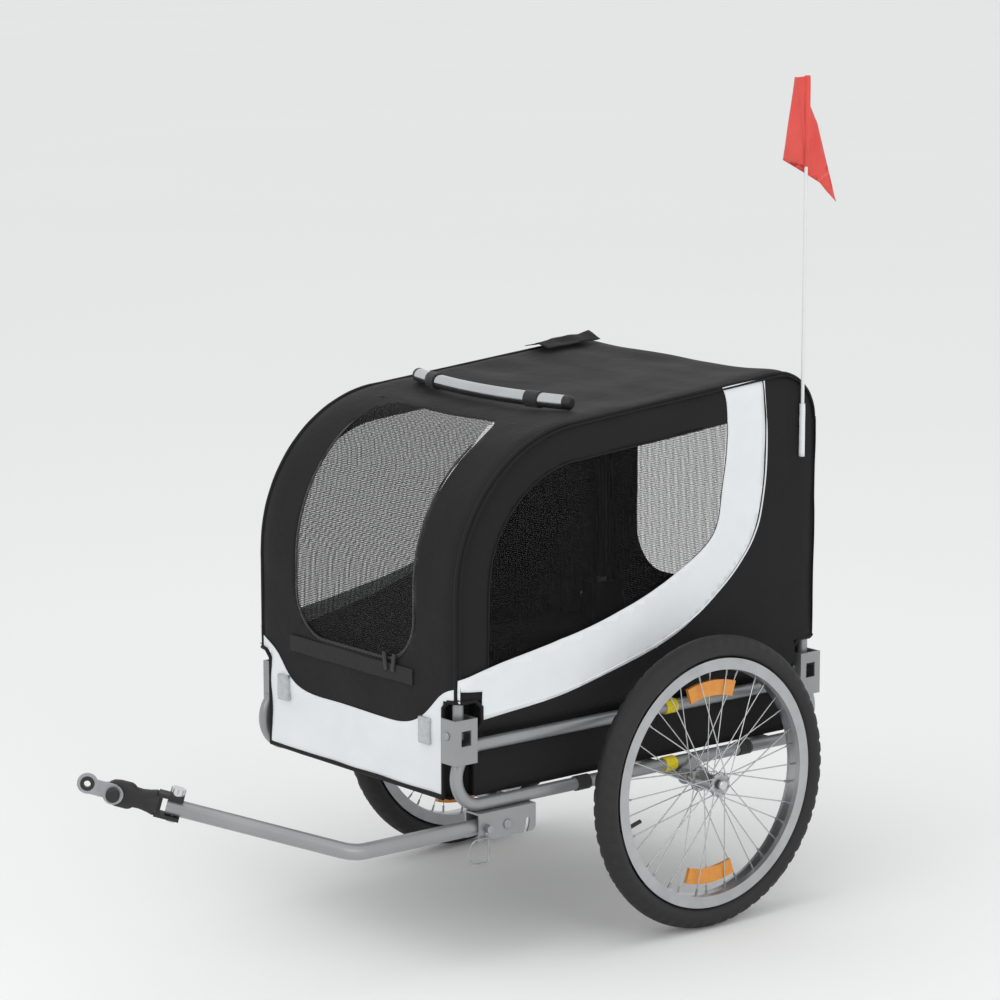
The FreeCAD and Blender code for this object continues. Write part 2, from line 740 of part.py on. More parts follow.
tyre_shape = tyre_section(0).revolve(ORIGIN, AY, 360)
tyre_shape = tyre_shape.cut(tyre_section(tyre_wall).revolve(ORIGIN, AY, 360))
bed_r = bead_r - slip_fit
well_r = (bed_r + rim_in_r) / 2.0
well = rim_half_w * well_share
rim_profile = []
for side in (1.0, -1.0):
    half = [(rim_r, rim_half_w), (rim_r, rim_half_w - rim_wall), (bed_r, rim_half_w - rim_wall),
            (well_r, well)]
    rim_profile += [(r, wheel_y + y * side) for r, y in (half if side > 0 else reversed(half))]
rim_profile += [(rim_in_r + rim_wall, wheel_y - rim_half_w), (rim_in_r, wheel_y - well),
                (rim_in_r, wheel_y + well), (rim_in_r + rim_wall, wheel_y + rim_half_w)]
rim = around_axle(rim_profile)
valve_foot = wheel_point(valve_in_r, valve_deg, wheel_y)
rim = rim.cut(rod(valve_foot, wheel_point(rim_r, valve_deg, wheel_y), valve_r + run_fit))

spokes = []
for i in range(spoke_count):
    at_rim = 360.0 * i / spoke_count
    side = 1.0 if i % 2 == 0 else -1.0
    lead = 1.0 if (i // 2) % 2 == 0 else -1.0
    hub_y = wheel_y + side * flange_off + lead * spoke_split
    start = wheel_point(flange_hole_r, at_rim + lead * spoke_cross, hub_y)
    rim_y = wheel_y + side * spoke_split + lead * spoke_r * spoke_lead_share
    end = wheel_point(rim_in_r - weld_gap, at_rim, rim_y)
    spokes.append(rod(start, end, spoke_r))

# The hub: bearing seats at both ends, a waist and two spoke flanges
mid_r = axle_r + flange_half_t * 2
seat = hub_end - bearing_w
shell_r = bearing_r + flange_half_t
waist_r = shell_r - flange_half_t * 2
bore_points = [(bearing_r + run_fit, hub_end), (bearing_r + run_fit, seat), (mid_r, seat)]
bore_points += [(r, -y) for r, y in reversed(bore_points)]
flange_in = flange_off - flange_half_t
skin_points = [(flange_r, -hub_end), (flange_r, -flange_in), (shell_r, -flange_in), (waist_r, 0)]
skin_points += [(r, -y) for r, y in reversed(skin_points[:-1])]
hub = around_axle([(r, wheel_y + y) for r, y in bore_points + skin_points])
bearings = []
for side in (1.0, -1.0):
    middle = wheel_y + side * (hub_end - bearing_w / 2)
    bearings.append(ring(V(0, middle, 0), AY, bearing_r, axle_r + run_fit, bearing_w - run_fit))
axle = rod(V(0, axle_in, 0), V(0, axle_out, 0), axle_r)
collar_end = wheel_y - hub_end
axle = axle.fuse(ring(V(0, (axle_tube_end + collar_end) / 2, 0), AY, collar_r, axle_r,
                      collar_end - axle_tube_end - slip_fit * 2))
axle = axle.cut(rod(V(0, wheel_y, 0), V(0, axle_out, 0), stem_r + run_fit))
head = Part.makeCylinder(button_r, button_t, V(0, axle_out + button_lift, 0), AY)
head = head.makeFillet(button_round, [head.Edges[0]])
stem = rod(V(0, wheel_y + button_lift * 2, 0), V(0, axle_out + button_lift, 0), stem_r)
button = head.fuse(stem)

# Reflectors fill the gap between the two sheets of spokes
inner_rim_y = spoke_split - spoke_r * spoke_lead_share
inner_hub_y = flange_off - spoke_split
spoke_climb = (rim_in_r - reflector_out_r) / (rim_in_r - flange_hole_r)
reflector_half_t = inner_rim_y + (inner_hub_y - inner_rim_y) * spoke_climb - spoke_r - slip_fit
wheel_reflectors = []
for middle in reflector_degs:
    back = V(0, wheel_y - reflector_half_t, 0)
    sector = Part.makeCylinder(reflector_out_r, reflector_half_t * 2, back, AY, reflector_half_deg * 2)
    sector = sector.cut(Part.makeCylinder(reflector_in_r, reflector_half_t * 2, back, AY)).Solids[0]
    angle_now = math.degrees(math.atan2(sector.CenterOfMass.z, sector.CenterOfMass.x))
    sector.rotate(ORIGIN, AY, angle_now - middle)
    wheel_reflectors.append(sector)
valve = rod(valve_foot, wheel_point(bead_r - slip_fit, valve_deg, wheel_y), valve_r)

wheel_nodes = (("tyre", tyre_shape), ("rim", rim), ("spokes", Part.Compound(spokes)), ("hub", hub),
               ("hub_bearings", Part.Compound(bearings)), ("valve", valve), ("axle_button", button),
               ("wheel_reflectors", Part.Compound(wheel_reflectors)))
for name, shape in wheel_nodes:
    save(shape, "left_" + name)
    save(mirrored(shape), "right_" + name)
save(both(axle), "wheel_axles")

# Tow receiver: a channel under the left rail, open at the front, rear and bottom
receiver_top = rail_low_z - tube_r - weld_gap
outside = receiver_half + receiver_t
receiver = box(V(receiver_rear, loop_y - outside, receiver_low),
               V(receiver_front, loop_y + outside, receiver_top))
receiver = receiver.cut(box(V(receiver_rear, loop_y - receiver_half, receiver_low),
                            V(receiver_front, loop_y + receiver_half, receiver_top - receiver_t)))
rear_low_edges = [e for e in receiver.Edges if abs(e.tangentAt(e.FirstParameter).y) > 0.9
                  and e.Length < outside and e.CenterOfMass.x < receiver_rear + receiver_t
                  and e.CenterOfMass.z < receiver_low + receiver_t]
receiver = receiver.makeFillet(receiver_corner, rear_low_edges)
through = loop_y - outside - receiver_t


def upright(along, side, low, high, radius):
    # A round bar square to the tow bar's end, between two heights
    return rod(at_tip(along, side, low), at_tip(along, side, high), radius)


def crosswise(along, up, low, high, radius):
    # A round bar level across the tow bar's end
    return rod(at_tip(along, low, up), at_tip(along, high, up), radius)


def across(x, z, radius):
    return Part.makeCylinder(radius, (outside + receiver_t) * 2, V(x, through, z), AY)


# The lock pin's two holes, before and behind the hinge, run down into slots
# so that the pin can ride round with the bar
lock_x = hinge_x + lock_reach
spare_hole_x = hinge_x - lock_reach
lock_hole = lock_r + slip_fit
pin_path = ring(V(hinge_x, loop_y, tow_z), AY, lock_reach + lock_hole, lock_reach - lock_hole, outside * 3)
pin_path = pin_path.common(box(V(receiver_rear, through, receiver_low - receiver_t),
                               V(receiver_front, loop_y + outside + receiver_t, tow_z)))
receiver = receiver.cut(across(hinge_x, tow_z, bolt_r + run_fit)).cut(pin_path)
receiver = receiver.cut(across(lock_x, tow_z, lock_hole)).cut(across(spare_hole_x, tow_z, lock_hole))
save(receiver, "tow_receiver")

hinge_bolt = across(hinge_x, tow_z, bolt_r)
for y, way in ((loop_y + outside + weld_gap, 1.0), (loop_y - outside - weld_gap, -1.0)):
    head = Part.makeCylinder(bolt_head_r, bolt_head_t, V(hinge_x, y, tow_z), AY * way)
    hinge_bolt = hinge_bolt.fuse(head.makeFillet(bolt_head_t / 2, [head.Edges[0]]))
save(hinge_bolt, "tow_hinge_bolt")

bolt_at = -coupler_bolt_back
tow_start = V(hinge_x - tow_tail, loop_y, tow_z)
tow_path = rounded_edges([tow_start, V(tow_knee, loop_y, tow_z), tow_tip], [tow_bend_r])
tow_bar = hollow(tow_path, tow_r, tow_wall)
tow_bar = tow_bar.cut(across(hinge_x, tow_z, bolt_r + run_fit)).cut(across(lock_x, tow_z, lock_r + run_fit))
tow_bar = tow_bar.cut(upright(bolt_at, 0, -coupler_r, coupler_r, bolt_r + run_fit))
save(tow_bar, "tow_bar")

# Lock pin through both cheeks and the bar, with a neck for the pull ring's eye
eye_low = loop_y + outside + slip_fit + lock_head_t
eye_t = bail_r * 2
neck_high = eye_low + eye_t + slip_fit * 2
lock_pin = rod(V(lock_x, loop_y - outside - lock_r, tow_z), V(lock_x, neck_high, tow_z), lock_r)
for y in (eye_low - lock_head_t, neck_high):
    lock_pin = lock_pin.fuse(rod(V(lock_x, y, tow_z), V(lock_x, y + lock_head_t, tow_z), lock_head_r))
save(lock_pin, "lock_pin")

# Pull ring: a wire bent to a D, hanging by an eye round the pin's neck
eye_y = eye_low + slip_fit + bail_r
bail_low = tow_z - bail_drop
bail_high = tow_z - bail_top_drop
bail_side = lock_x + bail_w
eye_mid = lock_r + run_fit + bail_r
bail_points = [V(lock_x, eye_y, tow_z - eye_mid), V(lock_x, eye_y, bail_low), V(bail_side, eye_y, bail_low),
               V(bail_side, eye_y, bail_high), V(lock_x, eye_y, bail_high)]
bail = swept(rounded_edges(bail_points, [bail_corner, bail_round, bail_round]), bail_r)
bail = bail.fuse(ring(V(lock_x, eye_y, tow_z), AY, eye_mid + bail_r, lock_r + run_fit, eye_t))
bail = bail.cut(rod(V(lock_x, eye_low, tow_z), V(lock_x, neck_high, tow_z), lock_r + run_fit))
save(bail, "lock_bail")

# Coupler: a rubber yoke on the tow bar tip, with the hitch plate on its far end
def disc_wire(along, radius):
    return Part.Wire(Part.makeCircle(radius, at_tip(along, 0, 0), u))


def local_box(along, side, up):
    block = box(V(along[0], side[0], up[0]), V(along[1], side[1], up[1]))
    matrix = FreeCAD.Matrix(u.x, v.x, w.x, tow_tip.x, u.y, v.y, w.y, tow_tip.y,
                            u.z, v.z, w.z, tow_tip.z, 0, 0, 0, 1)
    return block.transformGeometry(matrix)


neck_wires = [disc_wire(yoke_web + (coupler_len - yoke_web) * a, coupler_r * b) for a, b in neck_shares]
neck = Part.makeLoft(neck_wires, True)
tongue_in = tow_r + slip_fit
coupler = neck
for way in (1.0, -1.0):
    up = sorted((way * tongue_in, way * (tongue_in + yoke_t)))
    coupler = coupler.fuse(local_box((-yoke_back, yoke_web * 2), (-yoke_half_w, yoke_half_w), up))
yoke_top = tongue_in + yoke_t
yoke_sides = (-yoke_half_w, yoke_half_w)
coupler = coupler.fuse(local_box((yoke_web, yoke_web * 2), yoke_sides, (-yoke_top, yoke_top)))
coupler = coupler.cut(upright(bolt_at, 0, -coupler_r * 2, coupler_r * 2, bolt_r + run_fit))
coupler = coupler.cut(crosswise(hitch_pivot, 0, -coupler_r * 2, coupler_r * 2, bolt_r + run_fit))
save(coupler, "coupler")

bolt_foot = -yoke_top - trim_gap
coupler_bolt = upright(bolt_at, 0, bolt_foot - bolt_head_t, bolt_foot, bolt_head_r)
coupler_bolt = coupler_bolt.fuse(upright(bolt_at, 0, bolt_foot, yoke_top + knob_h / 2, bolt_r))
save(coupler_bolt, "coupler_bolt")
knob_low = yoke_top + trim_gap
star_knob = upright(bolt_at, 0, knob_low, knob_low + knob_h, knob_r - knob_lobe_r / 2)
for i in range(knob_lobes):
    turn = 2 * math.pi * i / knob_lobes
    reach = knob_r - knob_lobe_r
    along, side = bolt_at + reach * math.cos(turn), reach * math.sin(turn)
    lobe = upright(along, side, knob_low + knob_h / 3, knob_low + knob_h, knob_lobe_r)
    star_knob = star_knob.fuse(lobe)
blind_hole = upright(bolt_at, 0, knob_low, yoke_top + knob_h / 2 + trim_gap, bolt_r + run_fit)
star_knob = star_knob.cut(blind_hole)
save(star_knob, "star_knob")

hitch_plate = crosswise(hitch_pivot, 0, hitch_y, plate_out, hitch_end_r)
hitch_plate = hitch_plate.fuse(crosswise(hitch_reach, hitch_rise, hitch_y, plate_out, hitch_end_r))
plate_up = (-hitch_end_r / 2, hitch_end_r)
hitch_plate = hitch_plate.fuse(local_box((hitch_pivot, hitch_reach), (hitch_y, plate_out), plate_up))
hitch_plate = hitch_plate.removeSplitter()
eye = crosswise(hitch_reach, hitch_rise, hitch_y, plate_out + washer_t * 2, hitch_eye_r)
hitch_plate = hitch_plate.cut(eye)
hitch_plate = hitch_plate.cut(crosswise(hitch_pivot, 0, hitch_y, plate_out, bolt_r + run_fit))
save(hitch_plate, "hitch_plate")
washer_in = plate_out + trim_gap
hitch_washer = crosswise(hitch_reach, hitch_rise, washer_in, washer_in + washer_t, washer_r)
save(hitch_washer.cut(eye), "hitch_washer")
hitch_knob = crosswise(hitch_pivot, 0, washer_in, washer_in + hitch_knob_t, hitch_knob_r)
hitch_knob = hitch_knob.makeFillet(hitch_knob_t / 3, [hitch_knob.Edges[0]])
hitch_knob = hitch_knob.fuse(crosswise(hitch_pivot, 0, -coupler_r, washer_in, bolt_r))
save(hitch_knob, "hitch_knob")

# Safety flag on its pole, standing in a cloth sleeve at the rear of the left wall
sleeve_out = pole_r + slip_fit + sleeve_wall
pole_y = wall_y + trim_gap + sleeve_out
pole_foot = V(pole_x, pole_y, pole_low)
sleeve = rod(pole_foot - AZ * sleeve_wall, V(pole_x, pole_y, sleeve_top), sleeve_out)
sleeve = sleeve.cut(rod(pole_foot - AZ * trim_gap, V(pole_x, pole_y, pole_top), pole_r + slip_fit))
save(sleeve, "flag_sleeve")
save(Part.makeCylinder(pole_r, pole_len, pole_foot, AZ), "flag_pole")

flag_y = pole_y - flag_t / 2
back_y = flag_y - flag_gap
flag_high = pole_top - flag_t
corner_z = flag_low + flag_corner_rise
face_points = [(0, flag_high), (flag_top_reach, flag_high), (flag_reach, corner_z), (0, flag_low)]
back_points = [(flag_top_reach, flag_high),
               (-flag_tail_x * flag_waist_share, pole_top - flag_waist_drop),
               (-flag_tail_x, pole_top - flag_tail_drop),
               (-flag_tail_x * flag_foot_share, flag_low - flag_foot_drop),
               (flag_reach, corner_z)]
turn_points = [(flag_top_reach, flag_high), (flag_top_reach + flag_t, flag_high),
               (flag_reach + flag_t, corner_z), (flag_reach, corner_z)]


def hung(points, y, depth):
    return plate([V(pole_x + x, y, z) for x, z in points], V(0, depth, 0))


flag = hung(face_points, flag_y, flag_t).fuse(hung(back_points, back_y, flag_t))
flag = flag.fuse(hung(turn_points, back_y, flag_gap + flag_t))
hem = Part.makeCylinder(pole_r + trim_gap + flag_hem, flag_h, V(pole_x, pole_y, flag_low), AZ)
flag = flag.fuse(hem)
flag = flag.cut(rod(pole_foot, V(pole_x, pole_y, pole_top + pole_r), pole_r + trim_gap))
save(flag, "flag")
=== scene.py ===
import math

import bmesh
import bpy
from mathutils import Matrix, Vector, noise


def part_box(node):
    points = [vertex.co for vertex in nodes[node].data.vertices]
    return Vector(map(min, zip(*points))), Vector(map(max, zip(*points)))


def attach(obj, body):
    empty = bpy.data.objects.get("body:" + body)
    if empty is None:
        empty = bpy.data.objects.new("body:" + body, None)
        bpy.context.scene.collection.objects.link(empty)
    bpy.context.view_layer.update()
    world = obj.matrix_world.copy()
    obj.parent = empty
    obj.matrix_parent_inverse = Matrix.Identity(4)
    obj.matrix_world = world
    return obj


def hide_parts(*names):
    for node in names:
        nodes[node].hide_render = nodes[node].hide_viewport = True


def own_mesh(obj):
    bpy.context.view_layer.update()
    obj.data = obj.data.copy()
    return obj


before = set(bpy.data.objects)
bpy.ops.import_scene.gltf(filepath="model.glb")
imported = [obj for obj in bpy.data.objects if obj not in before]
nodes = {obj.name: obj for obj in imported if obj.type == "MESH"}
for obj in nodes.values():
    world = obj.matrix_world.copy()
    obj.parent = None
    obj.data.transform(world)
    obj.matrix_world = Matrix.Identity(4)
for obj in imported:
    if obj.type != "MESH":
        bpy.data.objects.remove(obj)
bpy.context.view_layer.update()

bpy.ops.object.select_all(action="DESELECT")


# Steel frame: two bent loops, cross tubes, axle tube, arches, fold brackets and the tow receiver.
# Welded steel tube under silver-grey enamel, which lies on with a faint orange peel
# and dulls in patches with use.
def linear(code):
    parts = [int(code[i:i + 2], 16) / 255 for i in (1, 3, 5)]
    return [c / 12.92 if c <= 0.04045 else ((c + 0.055) / 1.055) ** 2.4 for c in parts] + [1.0]


def add(mat, kind, inputs={}, **settings):
    made = mat.node_tree.nodes.new("ShaderNode" + kind)
    for key, value in settings.items():
        setattr(made, key, value)
    for key, value in inputs.items():
        if isinstance(value, bpy.types.NodeSocket):
            mat.node_tree.links.new(value, made.inputs[key])
        else:
            made.inputs[key].default_value = value
    return made


def surface(name, **sockets):
    mat = bpy.data.materials.new(name)
    mat.use_nodes = True
    skin = mat.node_tree.nodes["Principled BSDF"]
    for key, value in sockets.items():
        skin.inputs[key.replace("_", " ")].default_value = value
    place = add(mat, "TexCoord").outputs["Object"]
    return mat, skin, place


def join(mat, source, target):
    mat.node_tree.links.new(source, target)


def mottled(mat, skin, place, dark, light, patch, rough, grain=None):
    # Colour and gloss drift over patches of a given size.
    # Grain is a fine relief, given by its size, depth and strength.
    drift = add(mat, "TexNoise", {"Vector": place, "Scale": 1.0 / patch, "Detail": 4.0})
    spread = drift.outputs["Fac"]
    shade = add(mat, "Mix", {"Factor": spread, 6: linear(dark), 7: linear(light)}, data_type="RGBA")
    join(mat, shade.outputs[2], skin.inputs["Base Color"])
    gloss = add(mat, "MapRange", {"Value": spread, "To Min": rough[0], "To Max": rough[1]})
    join(mat, gloss.outputs["Result"], skin.inputs["Roughness"])
    if grain:
        size, depth, strength = grain
        fine = add(mat, "TexNoise", {"Vector": place, "Scale": 1.0 / size, "Detail": 3.0})
        lift = add(mat, "Bump", {"Height": fine.outputs["Fac"], "Distance": depth, "Strength": strength})
        join(mat, lift.outputs["Normal"], skin.inputs["Normal"])


def dress(mat, *names):
    for name in names:
        piece = nodes[name]
        piece.data.materials.clear()
        piece.data.materials.append(mat)


enamel, skin, place = surface("silver_grey_enamel", Metallic=0.55, Coat_Weight=0.25,
                              Coat_Roughness=0.18)
mottled(enamel, skin, place, "#8a8c8e", "#a3a5a6",
        patch=0.09, rough=(0.30, 0.46), grain=(0.004, 0.0004, 0.12))
dress(enamel, "left_loop", "right_loop", "cross_tubes", "axle_tube", "axle_brackets", "left_arch",
      "right_arch", "left_fold_brackets", "right_fold_brackets", "tow_receiver", "tow_bar")

# Bright fasteners: fold pins, hinge bolt, lock pin, pull ring, coupler bolt, axles and hitch plate.
# Zinc-plated steel, turned or stamped, with a fine brushed grain and a cool tint.
zinc, skin, place = surface("zinc_plated_steel", Metallic=1.0)
mottled(zinc, skin, place, "#8d9093", "#b4b6b8",
        patch=0.012, rough=(0.24, 0.42), grain=(0.0012, 0.0002, 0.15))
dress(zinc, "fold_pins", "tow_hinge_bolt", "lock_pin", "lock_bail", "coupler_bolt", "wheel_axles",
      "hitch_plate", "left_hub_bearings", "right_hub_bearings")

# Wheel rims and hubs: extruded and turned aluminium with a satin finish.
# Brushing leaves a fine grain that softens the shine.
alloy, skin, place = surface("satin_aluminium", Metallic=0.9)
mottled(alloy, skin, place, "#a4a6a8", "#c4c6c8",
        patch=0.03, rough=(0.26, 0.38), grain=(0.0025, 0.0002, 0.1))
dress(alloy, "left_rim", "right_rim", "left_hub", "right_hub")

# Spokes: drawn stainless wire, crossed from the hub's flanges to the rim, bright and nearly smooth.
# Each is screwed into a plated nipple at the rim, a small turned sleeve that is made here.
spoke_wire, skin, place = surface("drawn_stainless_wire", Metallic=1.0)
mottled(spoke_wire, skin, place, "#b9bbbd", "#d4d5d6", patch=0.02, rough=(0.2, 0.3))
dress(spoke_wire, "left_spokes", "right_spokes")
nipple_r, nipple_taper, nipple_len, nipple_sides = 0.0019, 0.9, 0.010, 8
same_point = 0.00001


def welded(node):
    # A node's loose triangles, joined at their corners
    shape = bmesh.new()
    shape.from_mesh(nodes[node].data)
    bmesh.ops.remove_doubles(shape, verts=shape.verts, dist=same_point)
    return shape


def bodies_of(shape):
    # The corners of each separate body in a shape
    bodies, seen = [], set()
    for first in shape.verts:
        if first in seen:
            continue
        body = [first]
        seen.add(first)
        for v in body:
            for edge in v.link_edges:
                other = edge.other_vert(v)
                if other not in seen:
                    seen.add(other)
                    body.append(other)
        bodies.append(body)
    return bodies


def linked(name, data):
    piece = bpy.data.objects.new(name, data)
    bpy.context.scene.collection.objects.link(piece)
    return piece


def finished(name, shape, mat):
    # A shape that was drawn here, as a piece of its own
    mesh = bpy.data.meshes.new(name)
    shape.to_mesh(mesh)
    shape.free()
    mesh.materials.append(mat)
    return linked(name, mesh)


for side in ("left", "right"):
    wires = welded(side + "_spokes")
    tyre_low, tyre_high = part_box(side + "_tyre")
    hub_mid = (tyre_low + tyre_high) / 2
    sleeves = bmesh.new()
    for spoke in bodies_of(wires):
        spoke.sort(key=lambda v: math.hypot(v.co.x - hub_mid.x, v.co.z - hub_mid.z))
        few = max(1, len(spoke) // 4)
        start = sum((v.co for v in spoke[:few]), Vector()) / few
        end = sum((v.co for v in spoke[-few:]), Vector()) / few
        way = (end - start).normalized()
        turned = way.to_track_quat("Z", "Y").to_matrix().to_4x4()
        moved = Matrix.Translation(end - way * nipple_len * 0.5)
        bmesh.ops.create_cone(sleeves, cap_ends=True, segments=nipple_sides, radius1=nipple_r,
                              radius2=nipple_r * nipple_taper, depth=nipple_len, matrix=moved @ turned)
    wires.free()
    nipples = finished(side + "_nipples", sleeves, zinc)
    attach(nipples, side + "_wheel")

# Tyres: moulded black rubber with a smooth centre rib, a zigzag shoulder and a plain side wall.
# Each is a ring shaped to the casing, its shoulder pressed into slanted blocks.
# The rubber is dull, with a fine grain from the mould.
rubber, skin, place = surface("moulded_tyre_rubber", Specular_IOR_Level=0.35)
mottled(rubber, skin, place, "#242324", "#302e2f",
        patch=0.025, rough=(0.55, 0.75), grain=(0.002, 0.0004, 0.3))
tyre_low, tyre_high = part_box("left_tyre")
tyre_r, tyre_half = (tyre_high.z - tyre_low.z) / 2, (tyre_high.y - tyre_low.y) / 2
hub_x, hub_z = (tyre_high.x + tyre_low.x) / 2, (tyre_high.z + tyre_low.z) / 2
ring_r = tyre_r - tyre_half
blocks, points_a_block, points_round = 60, 6, 32
crown_drop, bead_pinch, bead_deep, bead_bend = 0.0008, 0.38, 0.0165, 0.8
# Where the centre rib, the nicks beside it and the blocks end, as angles from the crown
rib_end, nick_end, block_end = 0.30, 0.42, 1.25
nick_deep, groove_deep, groove_share, groove_slant = 0.0016, 0.0022, 0.34, 0.35
for side in ("left", "right"):
    low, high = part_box(side + "_tyre")
    middle = (low.y + high.y) / 2
    bpy.ops.mesh.primitive_torus_add(major_segments=blocks * points_a_block, minor_segments=points_round,
                                     major_radius=ring_r, minor_radius=tyre_half)
    tyre = bpy.context.object
    tyre.name = side + "_tyre_tread"
    for v in tyre.data.vertices:
        around = math.atan2(v.co.y, v.co.x)
        out, across = math.hypot(v.co.x, v.co.y) - ring_r, v.co.z
        turn = math.atan2(across, out)
        # Casing: round at the side, flatter over the crown, drawn in towards the bead
        wide, tall = tyre_half * math.sin(turn), (tyre_half - crown_drop) * math.cos(turn)
        if out <= 0:
            wide *= 1.0 - bead_pinch * (out / tyre_half) ** 2
            tall = -bead_deep * abs(math.cos(turn)) ** bead_bend
        tilt = abs(turn)
        step = (around / (2 * math.pi) * blocks + (0.5 if across > 0 else 0.0)) % 1.0
        sunk = 0.0
        if nick_end < tilt < block_end:
            slant = (step + groove_slant * (tilt - nick_end)) % 1.0
            sunk = groove_deep if slant < groove_share else 0.0
        elif rib_end < tilt <= nick_end and (step * 2) % 1.0 < 0.5:
            sunk = nick_deep
        reach = ring_r + tall - sunk * math.cos(turn)
        wide -= math.copysign(sunk * abs(math.sin(turn)), across)
        v.co = Vector((hub_x + reach * math.cos(around), middle + wide,
                       hub_z + reach * math.sin(around)))
    bpy.ops.object.mode_set(mode="EDIT")
    bpy.ops.mesh.select_all(action="SELECT")
    bpy.ops.mesh.normals_make_consistent(inside=False)
    bpy.ops.object.mode_set(mode="OBJECT")
    bpy.ops.object.shade_smooth_by_angle(angle=math.radians(38))
    tyre.data.materials.append(rubber)
    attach(tyre, side + "_wheel")
    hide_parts(side + "_tyre")
    tyre.select_set(False)

# Spoke reflectors: amber acrylic, clipped to the spokes, glossy and a little see-through.
# Rows of prisms are moulded on the back, about 3 mm wide and drawn at 5 mm so that they show.
amber, skin, place = surface("amber_prismatic_acrylic", IOR=1.49, Transmission_Weight=0.12,
                             Coat_Weight=0.6)
mottled(amber, skin, place, "#d97f0c", "#f3a52c", patch=0.01, rough=(0.14, 0.24))
prism_size, prism_deep = 0.005, 0.003
prisms = add(amber, "TexVoronoi", {"Vector": place, "Scale": 1.0 / prism_size, "Randomness": 0.0},
             distance="CHEBYCHEV").outputs["Distance"]
lift = add(amber, "Bump", {"Height": prisms, "Distance": prism_deep, "Strength": 0.55})
join(amber, lift.outputs["Normal"], skin.inputs["Normal"])
dress(amber, "left_wheel_reflectors", "right_wheel_reflectors")

# Front reflectors: clear acrylic lenses over a silvered back, bolted through the white band.
# The same prisms break the light up into small bright cells.
clear_lens, skin, place = surface("clear_prismatic_acrylic", IOR=1.49, Metallic=0.35, Coat_Weight=0.7)
mottled(clear_lens, skin, place, "#9fa3a6", "#c9cdd0", patch=0.008, rough=(0.12, 0.24))
prisms = add(clear_lens, "TexVoronoi", {"Vector": place, "Scale": 1.0 / prism_size, "Randomness": 0.0},
             distance="CHEBYCHEV").outputs["Distance"]
lift = add(clear_lens, "Bump", {"Height": prisms, "Distance": prism_deep, "Strength": 0.5})
join(clear_lens, lift.outputs["Normal"], skin.inputs["Normal"])
dress(clear_lens, "front_reflectors")

# Small black mouldings: valve caps, hitch knob and washer here, the zip pulls and the bar's plugs below.
# Nylon straight from the mould, with a spark-eroded grain that dulls its gloss.
nylon, skin, place = surface("moulded_black_nylon", Specular_IOR_Level=0.45)
mottled(nylon, skin, place, "#1b1b1c", "#282829",
        patch=0.006, rough=(0.38, 0.55), grain=(0.0009, 0.0003, 0.25))
dress(nylon, "left_valve", "right_valve", "hitch_knob", "hitch_washer")

# Yellow clips on the rails: soft PVC, moulded in one piece and snapped round the tube.
# The colour runs right through, evenly, with a low shine.
yellow, skin, place = surface("soft_yellow_pvc", Specular_IOR_Level=0.5)
mottled(yellow, skin, place, "#d9c414", "#ecd928", patch=0.01, rough=(0.35, 0.5))
dress(yellow, "rail_bands")

# Coupler: a moulded black rubber yoke that flexes, with a star knob on its bolt.
# The knob and the domed buttons on the axle ends are chromed, almost as smooth as a mirror.
coupler_rubber, skin, place = surface("moulded_coupler_rubber", Specular_IOR_Level=0.4)
mottled(coupler_rubber, skin, place, "#1d1c1d", "#2b2a2b",
        patch=0.012, rough=(0.45, 0.62), grain=(0.003, 0.0006, 0.3))
dress(coupler_rubber, "coupler")
chrome, skin, place = surface("chrome_plate", Metallic=1.0)
mottled(chrome, skin, place, "#c2c4c6", "#dcdddf", patch=0.01, rough=(0.08, 0.16))
dress(chrome, "star_knob", "left_axle_button", "right_axle_button")

# Coupler block: the thick rubber moulded round the yoke's neck, deeper at the hitch than in the middle.
# Each row gives a cross section: its place along the tow bar, half its height and half its width.
yaw_bolt = Vector((0.5539, 0.0890, 0.3088))
tow_way = Vector((0.7655, -0.5858, 0.2663))
level = Vector((0, 0, 1)).cross(tow_way).normalized()
upward = tow_way.cross(level)
sections = [(0.027, 0.0190, 0.0120), (0.031, 0.0198, 0.0128), (0.040, 0.0172, 0.0128),
            (0.052, 0.0152, 0.0128), (0.062, 0.0156, 0.0128), (0.066, 0.0190, 0.0128),
            (0.071, 0.0208, 0.0128), (0.088, 0.0208, 0.0128), (0.098, 0.0190, 0.0128),
            (0.104, 0.0150, 0.0124), (0.107, 0.0110, 0.0110)]
# A square with well rounded corners, where a power of 1 would be a circle
ring_points, squareness = 24, 0.6
block = bmesh.new()
rings = []
for along, tall, wide in sections:
    ring = []
    for k in range(ring_points):
        turn = 2 * math.pi * k / ring_points
        across, up = (math.copysign(abs(c) ** squareness, c) for c in (math.cos(turn), math.sin(turn)))
        place_on_ring = yaw_bolt + tow_way * along + level * across * wide + upward * up * tall
        ring.append(block.verts.new(place_on_ring))
    rings.append(ring)
for one, two in zip(rings, rings[1:]):
    for k in range(ring_points):
        block.faces.new((one[k - 1], one[k], two[k], two[k - 1])).smooth = True
block.faces.new(rings[0])
block.faces.new(reversed(rings[-1]))
bmesh.ops.recalc_face_normals(block, faces=block.faces)
coupler_block = finished("coupler_block", block, coupler_rubber)
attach(coupler_block, "coupler")

# Cabin floor: a hard panel of pressed fibreboard that lies loose in the cloth tray.
# It is stained dark and left dull, with the fibres' slight roughness.
board, skin, place = surface("stained_fibreboard")
mottled(board, skin, place, "#2b2826", "#37332f",
        patch=0.02, rough=(0.7, 0.85), grain=(0.003, 0.0004, 0.3))
dress(board, "floor_board")

